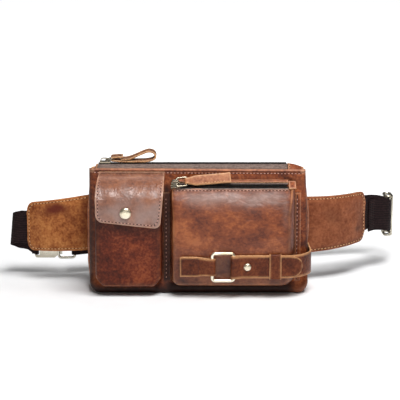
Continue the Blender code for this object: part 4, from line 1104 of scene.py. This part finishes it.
def zip_pocket():
    left_edge, right_edge = ZIP_POCKET_X

    def round_at(side, z):
        return (7.0 if side < 0 else 13.0) * (1.0 - 0.55 * ease(z, 85.0, ZIP_POCKET_Z[1]))

    def puff(x, z):
        swell = hump(x, (left_edge + right_edge) / 2, 60.0, 4) * hump(z, 66.0, 44.0, 4)
        creases = 0.35 * ripple((0.35 * x, 0.0, z), 7.0, 2.0) + 0.7 * ripple((0.6 * x, 0.0, z), 24.0, 5.0)
        return 1.3 * swell - 1.3 + creases * ease(z, 20.0, 60.0) - 1.2 * ease(z, 104.0, 118.0)

    def stain_and_shade(point):
        """Painted shade towards the base and the sides, and inside the strap's ring."""
        x, z = point.x, point.z
        left = ease(x, left_edge + 13.0, left_edge + 1.0)
        right = ease(x, right_edge - 16.0, right_edge - 3.0) * ease(z, 110.0, 88.0)
        ring = ease(x, RING_X[0] - 2.0, RING_X[0] + 3.0) * ease(x, RING_X[1] + 2.0, RING_X[1] - 4.0)
        ring *= hump(z, STRAP_HEIGHT, 13.0, 4)
        cloudy = 0.7 + 0.5 * ripple(point, 11.0, 4.0)
        return cloudy * (0.26 * left + 0.34 * right + 0.5 * ease(z, 44.0, 12.0)) + 0.5 * ring

    def painted_sheen(x, z):
        """Painted highlight: a cloudy band below the zip, and a streak down the right side."""
        band = hump(z, 108.0 + 3.0 * ripple((x, 0.0, 0.0), 26.0, 6.0), 7.5)
        band *= ease(x, -26.0, -6.0) * ease(x, 98.0, 84.0)
        streak = hump(x, 95.0, 3.2) * ease(z, 72.0, 92.0) * ease(z, 116.0, 108.0)
        return (0.72 + 0.5 * ripple((x, 0.0, z), 17.0, 3.0)) * (0.95 * band + 0.6 * streak)

    surface = pocket_surface(ZIP_POCKET_X, ZIP_POCKET_Z, zip_pocket_face, round_at, sharpness=(2.7, 2.2),
                             base_round=ZIP_POCKET_BASE, chamfer=6.0, mouth_drop=5.0, puff=puff)
    rise = ZIP_POCKET_Z[1] - ZIP_POCKET_Z[0] - 1.0 - ZIP_POCKET_BASE
    made = pocket_piece("zip_pocket_shell", "zip_pocket", surface, ZIP_POCKET_X, rise, POCKET_LEATHER, stain_and_shade)
    add_painted_sheen(made, 0.85, painted_sheen)
    hem = [(u, 1.0 + rise - 2.2) for u in (-0.97, 0.97)]
    seam("zip_pocket_hem_stitches", surface, hem, THREAD_ROSE, "pack",
         lift=1.0, pitch=3.8, length=1.7, thickness=0.9)
    # Painted shade: the left flange is dark all over in the channel between the pockets, the right one darker
    # towards the body's side.
    pocket_flange("pocket_flange_left", left_edge, -1.0, width=7.6, row=0.62, seed=1.0,
                  stain_and_shade=lambda point: 0.8)
    pocket_flange("pocket_flange_right", right_edge, 1.0, width=6.4, row=0.35, seed=2.0,
                  stain_and_shade=lambda point: 0.2 * ease(point.x, 112.5, 109.5))


def pocket_flange(name, edge, side, width, row, seed, stain_and_shade):
    """The pocket's side seam allowance, sewn flat to the front panel by a row this share of its width out."""
    def surface(u, z):
        x = edge + side * (0.4 + width * u)
        return Vector((x, -half_depth(z) - 1.2 - 0.25 * ripple((x, 0.0, z), 9.0, seed), z))

    made = sheet(name, surface, steps(0.0, 1.0, 0.125), steps(14.0, 113.0, 2.0), 1.4, BODY_LEATHER,
                 outward=(0.0, -1.0, 0.0), worn=0.35, stain_and_shade=stain_and_shade)
    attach(made, "pack")
    seam(name + "_stitches", surface, [(row, 16.0), (row, 111.0)], THREAD_ROSE, "pack",
         lift=0.7, pitch=4.6, length=2.0, thickness=0.9)


FLAP_PATH = [(-20.3, 136.4), (-20.4, 134.8), (-20.8, 133.3), (-21.6, 132.0), (-25.0, 131.1), (-31.0, 128.6),
             (-38.5, 123.5), (-45.0, 116.5), (-49.5, 108.0), (-51.2, 99.5)]


def flap_drop(x):
    """Height of the flap's lower edge, which slopes down to the right and has two round corners."""
    share = (x - FLAP_X[0]) / (FLAP_X[1] - FLAP_X[0])
    return 87.0 - 8.0 * share + round_in(min(x - FLAP_X[0], FLAP_X[1] - x), FLAP_CORNER)


def flap():
    """One sheet from the edge sewn to the body, over the fold, to the lower edge."""
    line = profile(FLAP_PATH, 5)
    bent = line.length
    left, right = FLAP_X

    def surface(x, v):
        """v is the distance down the bent part, and then 0 to 1 down the flat part, past its end."""
        spot = line.at(min(v, bent))
        z = spot.z
        if v > bent:
            z = spot.z + (flap_drop(x) - spot.z) * (v - bent)
        curl = 0.48 * ease(z, 100.0, 82.0) * math.cos(math.pi * (x - FLAP_POCKET_MIDDLE) / 76.0) ** 2
        wave = 0.8 * ripple((x, 0.0, z + 0.5 * x), 12.0, 7.0) * ease(v, 12.0, 24.0) * ease(z, 90.0, 102.0)
        across = (x - left) / (right - left)
        side = 0.5 * ripple((0.0, z, 0.0), 18.0, x // 40) * (2.0 * across - 1.0)
        side += FLAP_LEAN * ease(z, 80.0, 134.0) - 2.8 * hump(z, 119.0, 15.0) * (1.0 - across)
        return Vector((x + side, spot.y - curl + 0.35 - abs(wave), z))

    def painted_sheen(x, z):
        """Painted sheen: cloudy over the lower half, and a streak that leans up from it."""
        low = ease(z + 0.16 * (x - FLAP_POCKET_MIDDLE), 121.0, 106.0)
        streak = 0.75 * hump(x + 0.4 * (z - 116.0), -78.0, 4.5)
        streak *= ease(z, 100.0, 110.0) * ease(z, 129.0, 122.0)
        return (0.72 + 0.9 * ripple((x, 0.0, z), 12.0, 9.0)) * max(low, streak)

    turn = [FLAP_CORNER * (1.0 - math.cos(math.pi / 2 * i / 8)) for i in range(8)]
    xs = [left + t for t in turn] + steps(left + FLAP_CORNER, right - FLAP_CORNER, 2.0)
    xs += [right - t for t in reversed(turn)]
    vs = steps(0.0, 9.0, 0.5) + steps(10.0, bent, 1.6) + [bent + share for share in steps(0.0, 1.0, 0.1)[1:]]
    made = sheet("flap_leather", surface, xs, vs, 1.9, FLAP_LEATHER, outward=(0.0, -1.0, 0.0), worn=0.75)
    add_painted_sheen(made, 1.0, painted_sheen)
    hole = turned("flap_hole_cutter", [(0.0, 8.0), (2.4, 8.0), (2.4, -8.0), (0.0, -8.0)],
                  facing_front(SNAP[0], -51.0, SNAP[1]), None, 24)
    cut = made.modifiers.new("hole", "BOOLEAN")
    cut.object = hole
    settle(made)
    bpy.data.objects.remove(hole)
    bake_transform(made)
    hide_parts("flap", "flap_sewn_edge")
    down = [(2.6, 16.0), (2.6, bent + 0.45), (4.0, bent + 0.7), (7.6, bent + 0.86)]
    border = [(left + inset, v) for inset, v in down] + [(right - inset, v) for inset, v in reversed(down)]
    seam("flap_stitches", surface, border, THREAD_ROSE, "flap",
         lift=0.95, pitch=3.8, length=2.1, thickness=0.9)
    sewn = [(left + 2.0, 1.2), (right - 2.0, 1.2)]
    seam("flap_sewn_stitches", surface, sewn, THREAD_BROWN, "pack",
         lift=0.95, pitch=4.0, length=2.8, thickness=0.7)


def settle(made):
    """Makes the piece's mesh what its modifiers give, so that it can be bent at a joint."""
    bpy.context.view_layer.update()
    mesh = bpy.data.meshes.new_from_object(made.evaluated_get(bpy.context.evaluated_depsgraph_get()))
    made.modifiers.clear()
    made.data = mesh


def snap():
    x, z = SNAP
    cap = [(0.0, 2.25), (1.5, 2.22), (3.0, 2.05), (4.4, 1.65), (5.3, 1.15), (5.9, 0.6), (6.2, 0.1),
           (6.25, -0.4), (5.6, -0.45), (2.0, -0.4), (2.0, -2.9), (0.0, -2.9)]
    made = turned("snap_cap_dome", cap, facing_front(x, -52.9, z), BRASS)
    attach(made, "flap")
    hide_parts("snap_cap")
    socket = [(3.3, 1.2), (4.9, 1.2), (5.2, 0.9), (5.2, 0.0), (3.6, 0.0), (3.3, 0.3), (3.3, 1.2)]
    made = turned("snap_socket_ring", socket, facing_front(x, -48.2, z), BRASS)
    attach(made, "flap")
    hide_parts("snap_socket")
    stud = [(0.0, 1.6), (1.6, 1.6), (2.2, 1.35), (2.3, 1.0), (2.0, 0.6), (4.2, 0.5), (4.5, 0.2), (4.5, 0.0),
            (0.0, 0.0)]
    made = turned("snap_stud_post", stud, facing_front(x, FLAP_POCKET_FACE - GAP, z), BRASS)
    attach(made, "pack")
    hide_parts("snap_stud")


# ---------------------------------------------------------------- strap across the zip pocket

def strap():
    """Strap from the pack's right side, round the ring's bar and back over itself, with its trim."""
    height = STRAP_HEIGHT
    lower = [(123.9, 8.0), (123.9, -2.0), (123.9, -12.0), (124.2, -24.0), (121.5, -34.0), (114.0, -44.0),
             (104.0, -49.8)] + [(x, STRAP_LOWER) for x in (92.0, 76.0, 60.0, 44.0)]
    upper = [(42.6, -55.6), (45.8, -53.6)] + [(x, STRAP_UPPER) for x in (49.5, 60.0, 76.0, 93.0)]
    upper += [(98.0, -52.5), (104.6, -51.75), (107.8, -50.3), (110.6, -48.9), (STRAP_TIP, -47.4)]
    turn = arc((RING_X[1], RING_Y), STRAP_LOWER - RING_Y, 90, 270, 12)
    route = Route(at_height(smooth_path(lower, 6) + turn[1:] + smooth_path(upper, 6), height))

    def half(distance):
        """Narrows to a round tip over its last stretch."""
        tip = math.sqrt(1.0 - max(0.0, 1.0 - (route.length - distance) / 17.0) ** 2)
        return STRAP_HALF * (0.12 + 0.88 * tip)

    made, surface = ribbon("strap_leather", route, half, STRAP_THICK, STRAP_LEATHER, 1.4, 8, reach=1.0,
                           worn=0.85)
    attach(made, "pack")
    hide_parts("strap")
    for side, edge in (("lower", -15.4), ("upper", 15.4)):
        line = [(route.length - 50.0, edge), (route.length - 5.0, edge)]
        seam("strap_stitches_" + side, surface, line, THREAD_BROWN, "pack",
             lift=0.8, pitch=3.4, length=2.4, thickness=0.6)

    head = [(0.0, 2.2), (1.2, 2.15), (2.4, 1.9), (3.4, 1.4), (4.1, 0.7), (4.4, 0.0), (1.5, 0.0), (1.5, -4.1),
            (3.0, -4.1), (3.0, -4.7), (0.0, -4.7)]
    place = facing_front(RIVET_X, STRAP_UPPER - STRAP_THICK / 2 - GAP, height)
    made = turned("strap_rivet_head", head, place, BRASS)
    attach(made, "pack")
    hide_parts("strap_rivet")

    low, high = height - RING_RAIL, height + RING_RAIL
    ring = rounded_rectangle((RING_X[0], low), (RING_X[1], high), 3.2, 7)
    made = wire("strap_ring_wire", [(x, RING_Y, z) for x, z in ring], RING_WIRE, BRASS, sides=6)
    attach(made, "pack")
    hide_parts("strap_ring")
    anchor(height)
    keeper(height)


def anchor(height):
    """Leather tab folded round the ring's left bar, with a square of stitches."""
    under = [(-19.0, STRAP_LOWER), (0.0, STRAP_LOWER), (9.0, STRAP_LOWER), (12.0, STRAP_LOWER)]
    over = [(9.0, -55.6), (2.5, -53.1), (-4.0, STRAP_UPPER), (-12.0, STRAP_UPPER), (-20.5, STRAP_UPPER)]
    turn = arc((RING_X[0], RING_Y), STRAP_LOWER - RING_Y, 90, -90, 12)
    route = Route(at_height(under + turn + smooth_path(over, 5), height))

    def half(distance):
        x = route.at(distance).x
        return 11.0 - 1.6 * ease(x, -5.0, 10.0)

    made, surface = ribbon("strap_anchor_leather", route, half, STRAP_THICK, STRAP_LEATHER, 1.2, 8, reach=1.0,
                           worn=0.85)
    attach(made, "pack")
    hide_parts("strap_anchor")
    near, far, edge = route.length - 20.0, route.length - 2.2, 15.0
    square = [(near, -edge), (far, -edge), (far, edge), (near, edge), (near, -edge)]
    seam("strap_anchor_stitches", surface, square, THREAD_BROWN, "pack",
         lift=0.8, pitch=3.6, length=2.6, thickness=0.6)


def keeper(height):
    """Leather loop round both layers of the strap."""
    back = STRAP_LOWER + STRAP_THICK / 2 + GAP + 0.5
    front = STRAP_UPPER - STRAP_THICK / 2 - GAP - 0.6
    rim = STRAP_HALF + GAP + 0.8
    loop = rounded_rectangle((front, height - rim), (back, height + rim), 1.1, 5)
    route = Route([Vector((sum(KEEPER_X) / 2, y, z)) for y, z in loop + [loop[0]]])
    half = (KEEPER_X[1] - KEEPER_X[0]) / 2
    made, _ = ribbon("strap_keeper_loop", route, half, 1.0, STRAP_LEATHER, 1.2, 8, Vector((1.0, 0.0, 0.0)),
                     reach=1.0, worn=0.9)
    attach(made, "keeper")
    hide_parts("strap_keeper")


# ---------------------------------------------------------------- wings

def wing_surface(route, heights, side, depth, ends, pinch, crown, seed):
    """One layer of a wing at this depth behind the leather's middle.

    ends is how much smaller it is at its root, its tip and its long edges, pinch how far its borders are drawn
    towards the other layers, and crown how far its middle stands proud.
    """
    line = Route(at_height(smooth_path(route, 8), 0.0))
    total = line.length
    first, last = ends[0], total - ends[1]

    def surface(u, v):
        centre, half = (root + (tip - root) * u / total for root, tip in zip(*heights))
        half = half - ends[2] - round_in(last - u, WING_CORNER)
        spot = line.at(u)
        ahead = (line.at(min(u + 1.0, total)) - line.at(max(u - 1.0, 0.0))).normalized()
        rear = Vector((-ahead.y, ahead.x, 0.0)) * side
        rim = half * (1.0 - abs(v))
        drawn = pinch * (ease(rim, 7.0, 0.0) + 0.2 * ease(last - u, 6.0, 0.0))
        swell = crown * ease(rim, 2.0, 16.0) * ease(last - u, 4.0, 20.0) * ease(u - first, -10.0, 12.0)
        wave = 0.5 * ripple((u, 0.0, v * half), 19.0, seed) * ease(rim, 1.0, 8.0)
        move = rear * (depth + drawn + (wave - swell if pinch >= 0 else swell - wave))
        return Vector((spot.x, spot.y, centre + v * half)) + move

    return surface, first, last


def wing(name, route, heights, side, finish, blotches):
    """A wing's leather, backing and padding. A blotch is its x, z, width, height, tilt and depth of colour."""
    corner = [WING_CORNER * (1.0 - math.cos(math.pi / 2 * i / 8)) for i in range(9)]

    def grid(first, last):
        return steps(first, last - WING_CORNER, 2.2)[:-1] + [last - t for t in reversed(corner)]

    def stain_and_shade(point):
        total = 0.0
        for x, z, wide, tall, tilt, deep in blotches:
            across = (point.x - x) + tilt * (point.z - z)
            ragged = 1.0 + 0.6 * ripple(point, 9.0, 2.0)
            total += deep * (hump(across, 0.0, wide) * hump(point.z, z, tall)) ** ragged
        return total

    front, first, last = wing_surface(route, heights, side, depth=0.0, ends=(0.0, 0.0, 0.0), pinch=1.6,
                                      crown=0.8, seed=3.0)
    vs = steps(-1.0, 1.0, 0.05)
    made = sheet(name + "_leather", front, grid(first, last), vs, LEATHER, finish, reach=1.5, worn=0.45,
                 stain_and_shade=stain_and_shade)
    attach(made, "pack")
    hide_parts(name)
    edge = 1.0 - 2.8 / heights[1][1]
    upper = [(last - 2.6, 0.6), (last - 3.6, 0.78), (last - 8.0, edge), (first + 3.0, edge)]
    border = [(u, -v) for u, v in reversed(upper)] + upper
    seam(name + "_stitches", front, border, THREAD_TAN, "pack",
         lift=1.0, pitch=4.0, length=2.8, thickness=0.85)

    rear, first, last = wing_surface(route, heights, side, BACKING_DEPTH, ends=(0.0, 0.0, 0.6), pinch=-1.1,
                                     crown=0.6, seed=5.0)
    made = sheet(name + "_backing_cloth", rear, grid(first, last), vs, 1.2, BACKING, edge=None)
    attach(made, "pack")
    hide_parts(name + "_backing")

    pad, first, last = wing_surface(route, heights, side, PADDING_DEPTH, ends=(1.0, 31.0, 3.0), pinch=0.0,
                                    crown=0.0, seed=7.0)
    vs = steps(-1.0, 1.0, 0.08)
    made = sheet(name + "_pad", pad, grid(first, last), vs, 3.0, FOAM, edge=None, rounding=0.9)
    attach(made, "pack")
    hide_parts(name + "_padding")


def wings():
    wing("left_wing", LEFT_WING, LEFT_WING_HEIGHTS, -1.0, LEFT_NUBUCK,
         # The second blotch, tall and narrow at the wing's root, is painted shade from the body; the others are
         # stains.
         [(-164.0, 86.0, 13.0, 7.0, -0.6, 1.1), (-128.0, 74.0, 6.0, 40.0, 0.0, 0.45),
          (-146.0, 78.0, 5.0, 12.0, 0.5, 0.3)])
    wing("right_wing", RIGHT_WING, RIGHT_WING_HEIGHTS, 1.0, RIGHT_NUBUCK,
         [(189.0, 68.0, 5.0, 16.0, 0.2, 0.35), (152.0, 78.0, 9.0, 16.0, 0.4, 0.25),
          (184.0, 58.0, 4.0, 3.0, 0.0, 0.5)])


# ---------------------------------------------------------------- belt

def web_strap(name, route, lean=Vector((0.0, 0.0, 1.0))):
    return ribbon(name, route, WEBBING_HALF, WEBBING, WEB, 1.5, 12, lean, edge=None, worn=0.0, rounding=0.6)


def left_belt():
    """Webbing from inside the left wing, round its fold, and back round the clasp's hook plate."""
    sewn = offset_path(smooth_path(LEFT_WING, 4)[-5:], -WEBBING_DEPTH)
    fold = arc((-206.6, 44.4), 10.1, 272, 110, 27)
    flat = sewn + fold + [(-205.5, 54.5), (BELT_HINGE[0] - CREASE, BELT_HINGE[1])]
    count = len(flat) - 1
    high, low = LEFT_WEBBING_HEIGHTS
    falls = [(high - low) * max(0.0, (i - 3) / (count - 3)) ** 1.5 for i in range(count + 1)]
    path = [Vector((x, y, high - fall)) for (x, y), fall in zip(flat, falls)]
    path += [Vector((BELT_HINGE[0] + CREASE, BELT_HINGE[1], low - 0.5)), Vector((-197.0, 54.5, 45.5))]
    path += at_height(arc(HOOK_PIN, 2.7, -90, 90, 14) + [(-194.5, 59.9), (-197.0, 59.7)], CLASP_HEIGHT)
    route = Route(path)
    hinge = route.where(lambda point: point.y > 54.4)

    def lean(distance):
        share = math.sin(math.pi * min(1.0, max(0.0, (distance - 12.0) / (hinge - 12.0))))
        return Vector((0.12 * share, 0.0, 1.0))

    made, _ = web_strap("left_belt_webbing", route, lean)
    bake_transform(made)
    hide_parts("left_webbing", "left_webbing_end")


def belt_middle():
    """Middle of the belt from the right wing, round the back, to the clasp's ring: x, y and height."""
    front = smooth_path([(198.6, 63.0, RIGHT_WEBBING_HEIGHT), (207.0, 71.0, 70.7), (218.0, 76.5, 69.0),
                         (225.5, 82.5, 66.5), (ADJUSTER.x, 91.0, 63.5)], 6)
    straight = [tuple(ADJUSTER), (ADJUSTER.x, 121.0, 59.5)]
    bend = [(x, y, 59.0) for x, y in arc((ADJUSTER.x - 15.0, 121.0), 15.0, 8, 102.6, 12)]
    first, last = Vector((*bend[-1][:2], 58.8)), Vector((-134.0, 58.6, 42.3))
    rear = []
    for share in steps(0.03, 1.0, 0.03):
        slack = math.sin(math.pi * share) ** 2
        rear.append(first.lerp(last, share) + Vector((0.0, 1.5 * slack, -0.8 * slack)))
    return front + [Vector(p) for p in straight + bend] + rear


def right_belt():
    """One length of webbing: sewn into the right wing, round the ring's bar, and back in front of itself."""
    middle = belt_middle()
    start = at_height(offset_path(smooth_path(RIGHT_WING, 4)[-5:], WEBBING_DEPTH), RIGHT_WEBBING_HEIGHT)
    inner = offset_path(middle, LAYER_OFFSET)
    outer = offset_path(middle, -LAYER_OFFSET)
    ring = (CLASP_RING_X[1], CLASP_RING_Y[1])
    turn = at_height(arc(ring, CLASP_WIRE / 2 + GAP + WEBBING / 2, -80, -280, 16), CLASP_HEIGHT)
    fade = 36
    tail = [p - Vector((0.0, 0.0, TAIL_SAG * max(0.0, 1.0 - i / fade))) for i, p in enumerate(outer)]
    route = Route(start + inner[2:] + turn + tail[::-1])
    made, surface = web_strap("belt_webbing", route)
    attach(made, "pack")
    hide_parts("belt_strap", "belt_strap_rear", "belt_strap_turn", "belt_strap_tail", "belt_strap_end")
    for number, inset in enumerate((4.0, 8.0)):
        row = [(route.length - inset, -17.0), (route.length - inset, 17.0)]
        seam("belt_tail_stitches_%d" % number, surface, row, THREAD_BLACK, "pack",
             lift=1.0, pitch=3.2, length=2.3, thickness=0.7)


def clasp():
    """Stamped hook plate, and the wire ring that it catches."""
    metal_node("clasp_hook", NICKEL, rounding=0.45)
    low, high = CLASP_HEIGHT - CLASP_RAIL, CLASP_HEIGHT + CLASP_RAIL
    flat = rounded_rectangle((CLASP_RING_X[0], low), (CLASP_RING_X[1], high), 3.0, 7)
    slope = (CLASP_RING_Y[1] - CLASP_RING_Y[0]) / (CLASP_RING_X[1] - CLASP_RING_X[0])
    points = [(x, CLASP_RING_Y[0] + slope * (x - CLASP_RING_X[0]), z) for x, z in flat]
    made = wire("clasp_ring_wire", points, CLASP_WIRE, NICKEL, sides=6)
    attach(made, "clasp_ring")
    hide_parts("clasp_ring")


def adjuster():
    """Slide adjuster: a rounded loop above and below the webbing, joined by three bars."""
    out, rail = LAYER_OFFSET + WEBBING / 2 + GAP + 1.5, WEBBING_HALF + 4.4
    middle = ADJUSTER + Vector((0.0, 0.0, 0.8))
    curve = new_curve("adjuster_slide", 3.5, 6)
    for z in (-rail, rail):
        loop = at_height(rounded_rectangle((-out, -10.0), (out, 10.0), 3.6, 8), z)
        add_line(curve, [middle + point for point in loop], closed=True)
    for x, y in ((out, -8.5), (-out, 0.0), (out, 8.5)):
        add_line(curve, [middle + Vector((x, y, z)) for z in (-rail, 0.0, rail)], thick=0.86)
    made = link("adjuster_slide", curve, NICKEL)
    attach(made, "adjuster")
    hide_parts("adjuster_frame")


# ---------------------------------------------------------------- studio

def floor():
    """Pale paper, lit from within well behind the pack, where the photograph is pure white, and well before it,
    out of view, where its glow lights the pack from below and shows in the metals.
    """
    bpy.ops.mesh.primitive_circle_add(vertices=96, radius=30.0, fill_type="NGON", location=(0.0, 0.0, 0.0))
    made = bpy.context.object
    made.name = "floor"
    paper = Finish("studio_floor", None, 0.75)
    grit = paper.noise(40.0, 3.0)
    paper.color(paper.ramp(grit, [(0.3, (0.86, 0.86, 0.865, 1.0)), (0.7, (0.89, 0.89, 0.895, 1.0))]))
    paper.constants(Specular_IOR_Level=0.2, Emission_Color=(1.0, 1.0, 1.0, 1.0))
    split = paper.tree.nodes.new("ShaderNodeSeparateXYZ")
    paper.tree.links.new(paper.place, split.inputs[0])
    far = paper.remap(split.outputs["Y"], 0.05, 0.9, 0.0, 0.9)
    near = paper.remap(split.outputs["Y"], -0.36, -0.5, 0.0, 0.8)
    paper.feed(paper.shader.inputs["Emission Strength"], paper.math("ADD", far, near))
    made.data.materials.append(paper.material)


def sky():
    world = bpy.data.worlds.new("studio")
    bpy.context.scene.world = world
    world.use_nodes = True
    background = world.node_tree.nodes["Background"]
    background.inputs["Color"].default_value = (1.0, 1.0, 1.0, 1.0)
    background.inputs["Strength"].default_value = 0.11


def lamp(name, azimuth, elevation, distance, size, power):
    """A soft rectangular light aimed at the pack's middle, in metres, degrees and watts."""
    light = bpy.data.lights.new(name, "AREA")
    light.shape = "RECTANGLE"
    light.size, light.size_y = size
    light.energy = power
    made = link(name, light)
    a, e = math.radians(azimuth), math.radians(elevation)
    back = Vector((math.sin(a) * math.cos(e), -math.cos(a) * math.cos(e), math.sin(e)))
    made.location = Vector((0.0, 0.0, 0.07)) + back * distance
    made.rotation_mode = "QUATERNION"
    made.rotation_quaternion = (-back).to_track_quat("-Z", "Y")


def camera():
    made = link("camera", bpy.data.cameras.new("camera"))
    made.data.sensor_width = 36.0
    made.data.lens = CAMERA_LENS
    made.location = CAMERA_PLACE
    made.rotation_euler = (math.radians(90.0 - CAMERA_PITCH), 0.0, 0.0)
    made.data.clip_start = 0.05
    made.data.clip_end = 50.0
    bpy.context.scene.camera = made
    bpy.context.scene.view_settings.view_transform = "Standard"


floor()
sky()
lamp("key", azimuth=32.0, elevation=65.0, distance=1.6, size=(0.8, 0.6), power=26.0)
lamp("front", azimuth=4.0, elevation=54.0, distance=1.6, size=(0.35, 0.3), power=7.0)
lamp("card", azimuth=-12.0, elevation=16.0, distance=2.1, size=(1.2, 0.8), power=2.0)
lamp("rear", azimuth=170.0, elevation=60.0, distance=1.8, size=(1.2, 0.8), power=5.0)
camera()
panel("front_leather", "front_panel", -1.0)
panel("back_leather", "back_panel", 1.0)
gusset()
lining()
main_zip()
flap_pocket()
zip_pocket()
pocket_zip()
flap()
snap()
sliders()
strap()
wings()
left_belt()
right_belt()
clasp()
adjuster()
